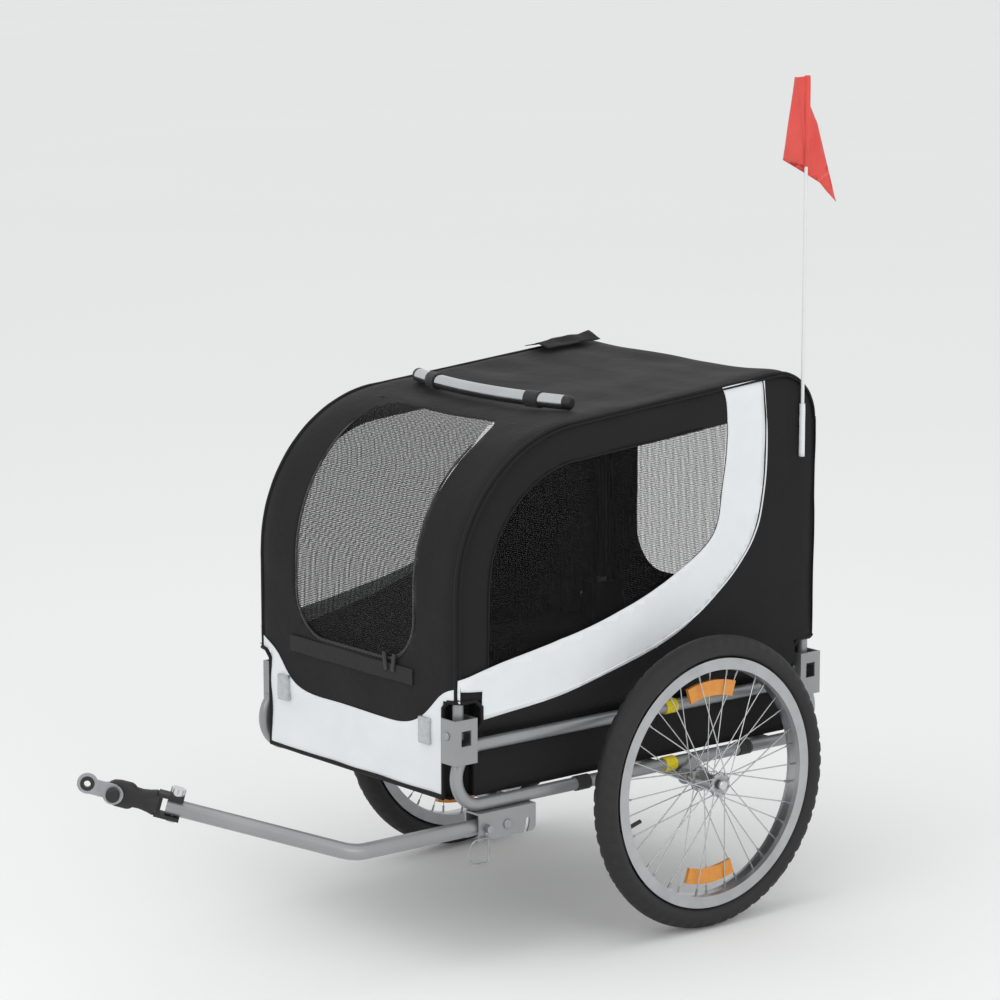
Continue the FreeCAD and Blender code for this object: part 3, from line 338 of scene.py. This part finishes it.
# Cabin cloth: side walls, the front and roof in one sheet, the rear wall and the floor tray.
# Black polyester, plain woven and coated inside, sewn tight over the arches; it puckers at the seams
# and sags a little on the roof. Thread is about 0.5 mm, drawn at 3 mm so that the grain shows.
floor_z, roof_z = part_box("floor_cloth")[0].z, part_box("front_and_roof_panel")[1].z
thread_pitch, thread_share, pucker_size = 0.003, 0.12, 0.035
# The length of one wave of the wave texture at scale 1
wave_unit = 0.314


def woven(mat, skin, place, depth, strength):
    scale = wave_unit / thread_pitch
    warp = add(mat, "TexWave", {"Vector": place, "Scale": scale}, bands_direction="Z")
    weft = add(mat, "TexWave", {"Vector": place, "Scale": scale}, bands_direction="X")
    both = add(mat, "Math", {0: warp.outputs["Fac"], 1: weft.outputs["Fac"]}, operation="MULTIPLY")
    pucker = add(mat, "TexNoise", {"Vector": place, "Scale": 1.0 / pucker_size, "Detail": 5.0,
                                   "Distortion": 0.6})
    height = add(mat, "Math", {0: both.outputs[0], 1: thread_share, 2: pucker.outputs["Fac"]},
                 operation="MULTIPLY_ADD")
    lift = add(mat, "Bump", {"Height": height.outputs[0], "Distance": depth, "Strength": strength})
    join(mat, lift.outputs["Normal"], skin.inputs["Normal"])


black_cloth, skin, place = surface("coated_black_polyester", Sheen_Weight=0.04, Sheen_Roughness=0.45,
                                   Specular_IOR_Level=0.24)
mottled(black_cloth, skin, place, "#141213", "#1c1a1b", patch=0.05, rough=(0.62, 0.8))
woven(black_cloth, skin, place, depth=0.004, strength=0.35)
hood_low, hood_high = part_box("front_and_roof_panel")
front_curve, rear_curve = 0.26, 0.09
roof_front_z, roof_rear_z = 0.846, 0.910
front_x, rear_x = hood_high.x, hood_low.x
roof_slope = (roof_rear_z - roof_front_z) / (front_x - rear_x)
# The cloth's thickness, how far it stands off its solid, and how its sewn edges roll in
cloth_thick, proud = 0.0012, 0.0012
seam_reach, seam_drop = 0.03, 0.007


def edge_depth(x, z):
    # How far a point of the side wall lies in from the roof, front and rear seams
    under = roof_front_z + roof_slope * (front_x - x) - z
    ahead, behind = front_x - x, x - rear_x
    deep = min(under, ahead, behind)
    if ahead < front_curve and under < front_curve:
        deep = front_curve - math.hypot(front_curve - ahead, front_curve - under)
    if behind < rear_curve and under < rear_curve:
        deep = rear_curve - math.hypot(rear_curve - behind, rear_curve - under)
    return max(deep, 0.0)


def rolled(depth):
    # A sewn edge that rolls in over the seam
    return -seam_drop * (1 - depth / seam_reach) ** 2 if depth < seam_reach else 0.0


def thicken(piece, thick, way):
    # A sheet gets its thickness, inwards (-1) or outwards (1)
    bpy.context.view_layer.objects.active = piece
    wall = piece.modifiers.new("cloth", "SOLIDIFY")
    wall.thickness = thick
    wall.offset = way
    bpy.ops.object.modifier_apply(modifier=wall.name)


def cut_cloth(node, name, facing, push, step, thick=cloth_thick, plan=None):
    # The sheet's outer face, divided finely, pushed into folds along its normal and given its thickness
    on_plane, weld = 0.00005, 0.0002
    mesh = nodes[node].data.copy()
    for layer in ("custom_normal", "sharp_face", "sharp_edge"):
        if layer in mesh.attributes:
            mesh.attributes.remove(mesh.attributes[layer])
    mesh.materials.clear()
    piece = linked(name, mesh)
    bm = bmesh.new()
    bm.from_mesh(mesh)
    bmesh.ops.remove_doubles(bm, verts=bm.verts, dist=same_point)
    bm.normal_update()
    hidden = [f for f in bm.faces if not facing(f.normal, f.calc_center_median())]
    bmesh.ops.delete(bm, geom=hidden, context="FACES")
    low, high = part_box(node)
    for i, way in enumerate((Vector((1, 0, 0)), Vector((0, 1, 0)), Vector((0, 0, 1)))):
        count = int((high[i] - low[i]) / step)
        for k in range(1, count + 1):
            everything = bm.verts[:] + bm.edges[:] + bm.faces[:]
            bmesh.ops.bisect_plane(bm, geom=everything, dist=on_plane, plane_co=low + way * (k * step),
                                   plane_no=way)
    bmesh.ops.remove_doubles(bm, verts=bm.verts, dist=weld)
    bmesh.ops.triangulate(bm, faces=bm.faces)
    bm.normal_update()
    flat_area = sum(f.calc_area() for f in bm.faces)
    if plan:
        threads = bm.loops.layers.uv.new("threads")
        for f in bm.faces:
            for corner in f.loops:
                corner[threads].uv = plan(corner.vert.co)
    moves = [(v, v.normal * push(v.co, v.normal)) for v in bm.verts]
    for v, move in moves:
        v.co += move
    for f in bm.faces:
        f.smooth = True
    bm.to_mesh(mesh)
    bm.free()
    if thick:
        thicken(piece, thick, -1.0)
    return piece, flat_area


# Sewn cloth, hung on its body with a mesh of its own
def folded(piece, body="frame"):
    # Sewn cloth that sinks onto the floor tray as the arches fold down
    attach(piece, body)
    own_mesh(piece)


def sewn_cloth(node, name, facing, push, step, mat, body="frame", thick=cloth_thick, plan=None):
    # A sheet of the cabin, cut from its node and sewn in at its place
    piece, flat_area = cut_cloth(node, name, facing, push, step, thick, plan)
    piece.data.materials.append(mat)
    folded(piece, body)
    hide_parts(node)
    return piece, flat_area


def soft_noise(p, size, seed):
    return noise.noise(Vector((p.x / size + seed, p.y / size + seed * 2, p.z / size - seed)))


fold_lean, fold_width, fold_run, fold_deep, swell_deep = 0.5, 0.045, 0.30, 0.0022, 0.0030


def wall_folds(p, n):
    # Loose cloth between tube and seam: long shallow folds that rise towards the rear top
    slant = p.x * fold_lean + p.z
    fold = fold_deep * noise.noise(Vector((slant / fold_width, p.y, p.x / fold_run)))
    swell = swell_deep * soft_noise(p, size=0.16, seed=3.1)
    return proud + fold + swell + rolled(edge_depth(p.x, p.z))


# A face belongs to the sheet's outer side when its normal points this far outwards
outward, slanted = 0.5, 0.3
for side, sign in (("left", 1), ("right", -1)):
    panel = side + "_side_panel"
    wall, area = sewn_cloth(panel, side + "_wall_cloth", lambda n, p: n.y * sign > slanted, wall_folds,
                            step=0.012, mat=black_cloth)
    low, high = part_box(panel)

# A point inside the cabin, from which the hood's outer side is told
mid_drop, mid_clear = 0.05, 0.02
hood_mid = Vector(((hood_low.x + hood_high.x) / 2, 0, (floor_z + roof_z) / 2 - mid_drop))


def hood_out(n, p):
    return abs(n.y) < outward and n.dot(Vector((p.x, 0, p.z)) - hood_mid) > mid_clear


roof_sag, tight_edge = 0.007, 0.05
ripple_width, ripple_run, ripple_deep, roof_proud = 0.05, 0.22, 0.0032, 0.0009


def hood_folds(p, n):
    # The roof sags between the arches; short folds run in from the side seams
    inset = hood_high.y - abs(p.y)
    edge = min(1.0, inset / tight_edge)
    sag = -roof_sag * max(0.0, n.z) * math.cos(p.y / hood_high.y * math.pi / 2)
    ripple = noise.noise(Vector((p.x / ripple_width + p.z / ripple_width, p.y / ripple_run, 4.0)))
    loose = roof_proud + ripple_deep * ripple + swell_deep * soft_noise(p, size=0.11, seed=7.7)
    return (sag + loose) * edge + rolled(inset)


hood, area = sewn_cloth("front_and_roof_panel", "hood_cloth", hood_out, hood_folds,
                        step=0.012, mat=black_cloth)


def rear_folds(p, n):
    return proud + 0.0024 * soft_noise(p, size=0.09, seed=6.2) + rolled(hood_high.y - abs(p.y))


rear, area = sewn_cloth("rear_panel", "rear_cloth", lambda n, p: n.x < -outward, rear_folds,
                        step=0.014, mat=black_cloth)
low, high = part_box("rear_panel")

tray, area = cut_cloth("floor_cloth", "floor_tray_cloth", lambda n, p: n.z < -outward,
                       lambda p, n: 0.0008 * soft_noise(p, size=0.12, seed=2.2), step=0.03)
tray.data.materials.append(black_cloth)
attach(tray, "frame")
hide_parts("floor_cloth")
low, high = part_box("floor_cloth")

# Arch sleeves: the black cloth tunnels that hold the cabin on the arches, one round each tube.
# Each is the tube's outer skin above its notches, let out a little and given the cloth's thickness.
sleeve_foot, sleeve_ease, sleeve_thick = 0.466, 0.0002, 0.0005
for side in ("left", "right"):
    tunnel = welded(side + "_arch")
    everything = tunnel.verts[:] + tunnel.edges[:] + tunnel.faces[:]
    bmesh.ops.bisect_plane(tunnel, geom=everything, plane_co=(0, 0, sleeve_foot), plane_no=(0, 0, 1),
                           clear_inner=True)
    # The tube's skin is the wider of its two shells, its bore the other
    tube_skin = set(max(bodies_of(tunnel),
                        key=lambda shell: max(v.co.y for v in shell) - min(v.co.y for v in shell)))
    bmesh.ops.delete(tunnel, geom=[v for v in tunnel.verts if v not in tube_skin], context="VERTS")
    tunnel.normal_update()
    for v, outwards in [(v, v.normal.copy()) for v in tunnel.verts]:
        v.co += outwards * sleeve_ease
    for f in tunnel.faces:
        f.smooth = True
    area = sum(f.calc_area() for f in tunnel.faces)
    sleeve = finished(side + "_arch_sleeve", tunnel, black_cloth)
    thicken(sleeve, sleeve_thick, 1.0)
    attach(sleeve, side + "_arch")

# Mesh windows and door: open knitted net of black polyester, sewn in from the inside.
# Holes of about 1.5 mm, drawn at 3 mm; the windows are more open than the door's closer knit.
eyelet_size, soft_rim = 0.003, 0.13
nets = {}
for use, hole in (("window", 0.46), ("door", 0.335)):
    net, skin, place = surface("knitted_black_%s_net" % use, Specular_IOR_Level=0.2)
    mottled(net, skin, place, "#191819", "#242324", patch=0.03, rough=(0.6, 0.8))
    weave = add(net, "UVMap", uv_map="threads").outputs["UV"]
    eyelets = add(net, "TexVoronoi", {"Vector": weave, "Scale": 1.0 / eyelet_size, "Randomness": 0.1},
                  voronoi_dimensions="2D").outputs["Distance"]
    threads = add(net, "MapRange", {"Value": eyelets, "From Min": hole - soft_rim,
                                    "From Max": hole + soft_rim})
    join(net, threads.outputs["Result"], skin.inputs["Alpha"])
    lift = add(net, "Bump", {"Height": eyelets, "Distance": 0.001, "Strength": 0.3})
    join(net, lift.outputs["Normal"], skin.inputs["Normal"])
    net.surface_render_method = "DITHERED"
    nets[use] = net


net_swell, net_sunk = 0.0015, 0.0008


def net_folds(p, n):
    return net_swell * soft_noise(p, size=0.13, seed=5.5) - net_sunk


side_limit = 0.15


def side_out(n, p):
    # The outer face of a node that holds a sheet on each side
    return n.y * p.y > side_limit


windows, area = sewn_cloth("side_window_mesh", "side_window_net", side_out, net_folds, step=0.016,
                           mat=nets["window"], thick=0.0, plan=lambda p: (p.x, p.z))
low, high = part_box("side_window_mesh")
rear_net, area = sewn_cloth("rear_window_mesh", "rear_window_net", lambda n, p: n.x < -outward,
                            net_folds, step=0.016, mat=nets["window"], thick=0.0,
                            plan=lambda p: (p.y, p.z))
low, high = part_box("rear_window_mesh")

door_low, door_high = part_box("front_door")
bunch_zone, bunch_deep, bunch_pitch, door_slack = 0.13, 0.010, 0.011, 0.004
wander_wide, wander_tall, wander_turn = 0.06, 0.05, 2.0


def door_folds(p, n):
    # The net hangs slack under its hinge seam and bunches in cross folds near the top
    top = max(0.0, (p.z - door_high.z + bunch_zone) / bunch_zone)
    wander = noise.noise(Vector((p.y / wander_wide, p.z / wander_tall, 1.0)))
    bunch = math.sin(p.z / bunch_pitch + wander_turn * wander)
    slack = door_slack * (1 - (p.y / door_high.y) ** 2) * (1 - top)
    return top * (1 - top) * bunch_deep * bunch - slack


def door_plan(p):
    low_z, back_x = roof_front_z - front_curve, front_x - front_curve
    turn = math.atan2(p.z - low_z, p.x - back_x)
    return (p.y, front_curve * turn if turn > 0 else p.z - low_z)


door, area = sewn_cloth("front_door", "door_net", hood_out, door_folds, step=0.010, mat=nets["door"],
                        body="front_door", thick=0.0, plan=door_plan)

# Door zip: a black coil zip round the door's sides and foot, sewn to the net and to the front.
# Its woven tape is dull; the coil, of about 1.5 mm, is drawn at 4 mm so that it shows as a slanted rib.
zip_tape, skin, place = surface("woven_zip_tape", Sheen_Weight=0.1)
mottled(zip_tape, skin, place, "#171617", "#222122", patch=0.01, rough=(0.55, 0.7))
coil_pitch = 0.004
teeth = add(zip_tape, "TexWave", {"Vector": place, "Scale": wave_unit / coil_pitch},
            bands_direction="DIAGONAL")
lift = add(zip_tape, "Bump", {"Height": teeth.outputs["Fac"], "Distance": 0.001, "Strength": 0.6})
join(zip_tape, lift.outputs["Normal"], skin.inputs["Normal"])
sewn_cloth("door_zip", "door_zip_tape", hood_out, lambda p, n: 0.0003, step=0.012, mat=zip_tape,
           body="front_door")

# White bands: coated white polyester, sewn on over the walls and the front with a turned edge.
# The coating is smooth and a little glossier than the black cloth.
white_cloth, skin, place = surface("coated_white_polyester", Sheen_Weight=0.1, Specular_IOR_Level=0.35)
mottled(white_cloth, skin, place, "#dde1e4", "#eaedef", patch=0.06, rough=(0.5, 0.66))
woven(white_cloth, skin, place, depth=0.003, strength=0.25)
band_proud = 0.0008
bands, area = cut_cloth("side_bands", "side_band_cloth", side_out,
                        lambda p, n: wall_folds(p, n) + band_proud, step=0.012)
# Its upper edge overlaps the foot of the window's net, most at the front corner. Each row gives a place
# along the wall, the band's lower and upper edge there, all as shares of the wall, and the rise.
band_edges = [(0.362, 0.380, 0.545, 0.0), (0.441, 0.341, 0.491, 0.006), (0.562, 0.289, 0.424, 0.018),
              (0.727, 0.247, 0.366, 0.030), (0.888, 0.229, 0.328, 0.039), (1.0, 0.216, 0.301, 0.042)]
band_lean, band_limit = 0.1, 0.13
wall_long, wall_tall = front_x - rear_x, roof_rear_z - floor_z
for v in bands.data.vertices:
    along = (v.co.x - rear_x) / wall_long
    for here, ahead in zip(band_edges, band_edges[1:]):
        if here[0] <= along <= ahead[0]:
            t = (along - here[0]) / (ahead[0] - here[0])
            foot, top, rise = (a + t * (b - a) for a, b in zip(here[1:], ahead[1:]))
            share = (v.co.z - floor_z) / wall_tall
            lifted = min(1.0, max(0.0, (share - foot) / (top - foot)))
            v.co.z += rise * lifted
            v.co.y += math.copysign(band_lean * rise * lifted, v.co.y)
area = sum(face.area for face in bands.data.polygons if face.normal.y * face.center.y > band_limit)
bands.data.materials.append(white_cloth)
folded(bands)
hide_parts("side_bands")


def front_folds(p, n):
    return hood_folds(p, n) + band_proud + 0.0012 * soft_noise(p, size=0.07, seed=9.0)


front, area = sewn_cloth("front_band", "front_band_cloth", lambda n, p: n.x > outward, front_folds,
                         step=0.010, mat=white_cloth)
low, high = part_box("front_band")

# Seam piping and bindings: bias-cut tape folded over the raw edges and sewn through.
# Black round the seams, the windows and the corner notches and along the foot; a thin white cord
# below each white band. Behind each notch a pocket of the black cloth closes the cabin's corner.
def sewn_edge(name, points, radius, mat, soft=True):
    line = bpy.data.curves.new(name, "CURVE")
    line.dimensions = "3D"
    line.bevel_depth = radius
    line.bevel_resolution = 2
    line.resolution_u = 6
    line.use_fill_caps = True
    run = line.splines.new("BEZIER")
    run.bezier_points.add(len(points) - 1)
    for knot, p in zip(run.bezier_points, points):
        knot.co = p
        knot.handle_left_type = knot.handle_right_type = "AUTO" if soft else "VECTOR"
    piece = linked(name, line)
    bpy.context.view_layer.objects.active = piece
    piece.select_set(True)
    bpy.ops.object.convert(target="MESH")
    bpy.ops.object.shade_smooth()
    piece.select_set(False)
    piece.data.materials.append(mat)
    folded(piece)


def seam_point(turn, inset):
    # A point on the cabin's outline in side view, from the front notch (0) over the roof to the rear (4)
    part = min(int(turn), 3)
    t = turn - part
    back_x, low_z = front_x - front_curve, roof_front_z + roof_slope * front_curve - front_curve
    rear_top = roof_front_z + roof_slope * (front_x - rear_x - rear_curve)
    if part == 0:
        return Vector((front_x - inset, 0, notch_top + t * (low_z - notch_top)))
    if part == 1:
        angle = t * math.pi / 2
        reach = front_curve - inset
        return Vector((back_x + reach * math.cos(angle), 0, low_z + reach * math.sin(angle)))
    if part == 2:
        x = back_x + t * (rear_x + rear_curve - back_x)
        return Vector((x, 0, roof_front_z + roof_slope * (front_x - x) - inset))
    angle = min(t * 2, 1.0) * math.pi / 2
    reach = rear_curve - inset
    drop = max(0.0, t * 2 - 1.0) * (rear_top - rear_curve - notch_top)
    return Vector((rear_x + rear_curve - reach * math.sin(angle), 0,
                   rear_top - rear_curve + reach * math.cos(angle) - drop))


notch_top, notch_y, notch_deep, notch_wide, notch_corner = 0.440, 0.232, 0.036, 0.050, 0.012
nest_step = 0.020
wall_y, skirt_y, skirt_top, wall_foot = 0.264, 0.245, 0.380, 0.405
seam_y, seam_inset, window_inset = 0.2585, 0.0035, 0.064
# The window's seam starts above the white band and ends short of its upright run
window_foot, window_end = 0.475, 0.23
seam_r, window_r, notch_r, cord_r, foot_r, rear_r = 0.0036, 0.0016, 0.0034, 0.0014, 0.0045, 0.0030
tape, tuck_back, tuck_in, hem_z = 0.001, 0.002, 0.006, floor_z + 0.003
# How far each run stands off the cloth that it is sewn to
notch_proud, window_proud, cord_proud, foot_proud, rear_proud = 0.0016, 0.0004, 0.0012, 0.0014, 0.0004
# The cord is set back along its upright run and lowered all the way but at its top
cord_back, cord_upright, cord_down, cord_top = 0.005, 0.4, 0.006, 0.9
# The pocket: its gap to the cloth in front of it, its rise above the notch, its inset from the side
# wall and its reach into the cabin
pocket_gap, pocket_rise, pocket_inset, pocket_reach = 0.004, 0.022, 0.003, 0.046
# The white band's lower edge, as shares of the wall's length and height
cord_shares = [(0.164, 0.97), (0.158, 0.81), (0.168, 0.655), (0.187, 0.582), (0.231, 0.508),
               (0.303, 0.43), (0.374, 0.37), (0.562, 0.289), (0.727, 0.247), (0.930, 0.224)]
cabin_ends = (("front", front_x, 1), ("rear", rear_x, -1))
for side, sign in (("left", 1), ("right", -1)):
    seam = [seam_point(i / 8, seam_inset) + Vector((0, sign * seam_y, 0)) for i in range(33)]
    sewn_edge(side + "_roof_seam", seam, seam_r, black_cloth)
    window = [seam_point(i / 10, window_inset) + Vector((0, sign * wall_y, 0)) for i in range(1, 30)]
    window = [p for p in window if p.z > window_foot and p.x > rear_x + window_end]
    for p in window:
        p.y += sign * (wall_folds(p, None) + window_proud)
    sewn_edge(side + "_window_seam", window, window_r, black_cloth)
    # The right arch nests inside the left one, so its notches reach further in
    nest = 0.0 if sign > 0 else nest_step
    for end, x, way in cabin_ends:
        face_x, side_x = x + way * notch_proud, x - way * (notch_wide + nest)
        bend_z, tape_y, skirt_tape_y = notch_top - notch_corner, wall_y + tape, skirt_y + tape
        notch = [(face_x, notch_y, hem_z), (face_x, notch_y, bend_z),
                 (face_x, notch_y + notch_corner, notch_top),
                 (face_x - way * tuck_back, wall_y - tuck_in, notch_top + tape),
                 (x - way * notch_corner, tape_y, notch_top),
                 (side_x + way * notch_corner, tape_y, notch_top), (side_x, tape_y, bend_z),
                 (side_x, tape_y, wall_foot), (side_x, skirt_tape_y, skirt_top),
                 (side_x, skirt_tape_y, hem_z)]
        notch = [Vector((px, py * sign, pz)) for px, py, pz in notch]
        sewn_edge("%s_%s_notch_binding" % (side, end), notch, notch_r, black_cloth,
                  soft=False)
        # The pocket: one strip from the front or rear round to the side wall, four points in each row
        rows = [(floor_z + pocket_gap, skirt_y), (skirt_top, skirt_y), (wall_foot, wall_y),
                (notch_top + pocket_rise, wall_y)]
        back_y = notch_y - pocket_gap
        points = []
        for z, out_y in rows:
            bend = [(x - way * pocket_gap, back_y), (side_x + way * pocket_gap, back_y),
                    (side_x, notch_y), (side_x, out_y - pocket_inset)]
            points += [Vector((px, py * sign, z)) for px, py in bend]
        faces = [(4 * r + c, 4 * r + c + 1, 4 * r + c + 5, 4 * r + c + 4)
                 for r in range(3) for c in range(3)]
        pocket_mesh = bpy.data.meshes.new("%s_%s_notch_pocket" % (side, end))
        pocket_mesh.from_pydata(points, [], faces)
        pocket = linked(pocket_mesh.name, pocket_mesh)
        thicken(pocket, cloth_thick, -1.0)
        pocket_mesh.materials.append(black_cloth)
        folded(pocket)
    cord = []
    for a, b in cord_shares:
        back, down = cord_back * (b > cord_upright), cord_down * (b < cord_top)
        p = Vector((rear_x + a * wall_long - back, sign * wall_y, floor_z + b * wall_tall - down))
        p.y += sign * (wall_folds(p, None) + cord_proud)
        cord.append(p)
    sewn_edge(side + "_band_cord", cord, cord_r, white_cloth)
for end, x, way in cabin_ends:
    foot = [Vector((x + way * foot_proud, y / 10 * notch_y, hem_z)) for y in range(-10, 11)]
    sewn_edge(end + "_foot_binding", foot, foot_r, black_cloth)
split_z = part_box("rear_panel")[1].z + tape
rear_run = [Vector((rear_x + rear_proud, y / 10 * seam_y, split_z)) for y in range(-10, 11)]
sewn_edge("rear_seam", rear_run, rear_r, black_cloth)

# Hook-and-loop strip under the door and the door's two zip pulls.
# Brushed black nylon loop sewn flat on the front, with a dull pile; die-cast sliders with a tab each.
strip_size, strip_y, strip_z, strip_proud = (0.0022, 0.330, 0.026), -0.008, 0.464, 0.0035
bpy.ops.mesh.primitive_cube_add(size=1)
strip = bpy.context.object
strip.name = "door_foot_strip"
bpy.ops.object.mode_set(mode="EDIT")
bpy.ops.transform.resize(value=strip_size)
bpy.ops.mesh.subdivide(number_cuts=14)
bpy.ops.object.mode_set(mode="OBJECT")
for v in strip.data.vertices:
    bulge = 0.0012 * soft_noise(v.co, size=0.05, seed=8.0)
    wave = 0.002 * soft_noise(v.co, size=0.09, seed=5.0)
    v.co += Vector((front_x + strip_proud + bulge, strip_y, strip_z + wave))
strip.select_set(True)
bpy.ops.object.shade_smooth_by_angle(angle=math.radians(40))
strip.select_set(False)
loop_pile, skin, place = surface("brushed_loop_nylon", Sheen_Weight=0.03, Sheen_Roughness=0.6)
mottled(loop_pile, skin, place, "#121112", "#1b1a1b",
        patch=0.006, rough=(0.75, 0.9), grain=(0.0018, 0.0012, 0.7))
strip.data.materials.append(loop_pile)
folded(strip)
pull_size, pull_bevel, pull_proud, pull_z = (0.003, 0.009, 0.030), 0.0012, 0.006, 0.480
for name, y, tip in (("left_zip_pull", 0.088, 12), ("right_zip_pull", 0.110, -9)):
    bpy.ops.mesh.primitive_cube_add(size=1)
    pull = bpy.context.object
    pull.name = name
    bpy.ops.object.mode_set(mode="EDIT")
    bpy.ops.transform.resize(value=pull_size)
    bpy.ops.mesh.bevel(offset=pull_bevel, segments=2)
    bpy.ops.mesh.subdivide(number_cuts=2)
    bpy.ops.object.mode_set(mode="OBJECT")
    pull.data.transform(Matrix.Rotation(math.radians(tip), 4, "X"))
    pull.data.transform(Matrix.Translation((front_x + pull_proud, y, pull_z)))
    bpy.ops.object.shade_smooth_by_angle(angle=math.radians(40))
    pull.data.materials.append(nylon)
    pull.select_set(False)
    folded(pull, "front_door")

# Roof flap: a short hem of the black cloth, standing up from the roof at the far side.
# It is sewn down along one edge and left loose, so it curls.
flap, area = sewn_cloth("roof_flap", "roof_flap_cloth", lambda n, p: n.z > slanted,
                        lambda p, n: 0.003 + 0.004 * soft_noise(p, size=0.03, seed=1.4),
                        step=0.008, mat=black_cloth)

# Roof bar: a bowed steel tube, polished bright, with a black plug in each end.
# Two loops of woven webbing hold it on the roof, and loops of the same kind tie the cabin to the rails.
# The webbing's ribs, of about 1 mm, are drawn at 3 mm so that they show.
bar_metal, skin, place = surface("polished_steel_tube", Metallic=1.0)
mottled(bar_metal, skin, place, "#b9bcbe", "#d3d5d7", patch=0.05, rough=(0.16, 0.28))
dress(bar_metal, "roof_bar")
dress(nylon, "roof_bar_plugs")
webbing, skin, place = surface("woven_nylon_webbing", Sheen_Weight=0.1)
mottled(webbing, skin, place, "#1b1a1b", "#282728", patch=0.01, rough=(0.6, 0.75))
rib_pitch = 0.003
ribs = add(webbing, "TexWave", {"Vector": place, "Scale": wave_unit / rib_pitch},
           bands_direction="DIAGONAL")
lift = add(webbing, "Bump", {"Height": ribs.outputs["Fac"], "Distance": 0.001, "Strength": 0.5})
join(webbing, lift.outputs["Normal"], skin.inputs["Normal"])


def soft_copy(node, name, body, ripple, step, mat):
    # A soft piece kept whole, with both its faces, so that its area is half of theirs
    piece, both_faces = cut_cloth(node, name, lambda n, p: True, ripple, step, thick=0.0)
    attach(piece, body)
    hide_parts(node)
    piece.data.materials.append(mat)
    return piece, both_faces / 2


def strap_ripple(seed):
    return lambda p, n: 0.0004 * soft_noise(p, size=0.01, seed=seed)


loops, area = soft_copy("roof_bar_straps", "roof_bar_webbing", "roof_bar", strap_ripple(2),
                        step=0.006, mat=webbing)
rail_loops, area = soft_copy("rail_straps", "rail_webbing", "frame", strap_ripple(3),
                             step=0.006, mat=webbing)

# Safety flag: thin red nylon, folded once round its hem, so that some light comes through.
# It flies on a smooth white glass-fibre pole, which stands in a white cloth sleeve on the rear corner.
flag_cloth, skin, place = surface("thin_red_nylon", Sheen_Weight=0.15, Subsurface_Weight=0.15,
                                  Subsurface_Scale=0.004)
mottled(flag_cloth, skin, place, "#d8372e", "#e5564c", patch=0.05, rough=(0.45, 0.6))
woven(flag_cloth, skin, place, depth=0.002, strength=0.3)


def flutter(p, n):
    return 0.0025 * noise.noise(Vector((p.x / 0.03, p.y / 0.05, p.z / 0.12)))


flag, area = soft_copy("flag", "flag_nylon", "flag", flutter, step=0.010, mat=flag_cloth)
fibre_pole, skin, place = surface("white_glass_fibre", Coat_Weight=0.3)
mottled(fibre_pole, skin, place, "#d9dadb", "#e8e9e9", patch=0.03, rough=(0.3, 0.4))
dress(fibre_pole, "flag_pole")
sleeve, area = soft_copy("flag_sleeve", "flag_sleeve_cloth", "frame", strap_ripple(4), step=0.008,
                         mat=white_cloth)
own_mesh(sleeve)

# Studio: a wide floor of pale, dull paper that meets an equally pale sky far behind.
# Three soft lamps stand overhead, in front and at the left side.
bpy.ops.mesh.primitive_plane_add(size=60)
floor = bpy.context.object
floor.name = "studio_floor"
paper, skin, place = surface("pale_studio_paper", Roughness=0.9, Specular_IOR_Level=0.1)
mottled(paper, skin, place, "#f6f6f6", "#f9f9f9", patch=2.0, rough=(0.88, 0.94))
floor.data.materials.append(paper)
world = bpy.data.worlds.new("studio_air")
bpy.context.scene.world = world
world.use_nodes = True
air = world.node_tree.nodes["Background"]
air.inputs["Color"].default_value = linear("#ebecec")
air.inputs["Strength"].default_value = 1.0


def lamp(name, place, aim, size, power):
    bpy.ops.object.light_add(type="AREA", location=place)
    made = bpy.context.object
    made.name = name
    made.data.size = size
    made.data.energy = power
    made.rotation_euler = (Vector(aim) - Vector(place)).to_track_quat("-Z", "Y").to_euler()


lamp("overhead_softbox", (0.6, 0.3, 4.2), (0, 0, 0.4), size=3.0, power=19)
lamp("front_softbox", (4.2, 0.6, 2.6), (0, 0, 0.5), size=2.0, power=22)
lamp("side_fill", (0.5, 4.5, 2.4), (0, 0, 0.5), size=2.5, power=28)

# Camera at the photograph's angle: a long lens, high on the front left.
# Its place and aim are set from the wheels' axle.
bpy.ops.object.camera_add(location=(hub_x + 3.996, 4.658, 1.813))
camera = bpy.context.object
aim = Vector((hub_x + 0.0475, -0.158, 0.655)) - camera.location
camera.rotation_euler = aim.to_track_quat("-Z", "Y").to_euler()
camera.data.sensor_width = 36
camera.data.lens = 132.4
camera.data.clip_end = 200
bpy.context.scene.camera = camera
bpy.context.scene.view_settings.view_transform = "Standard"
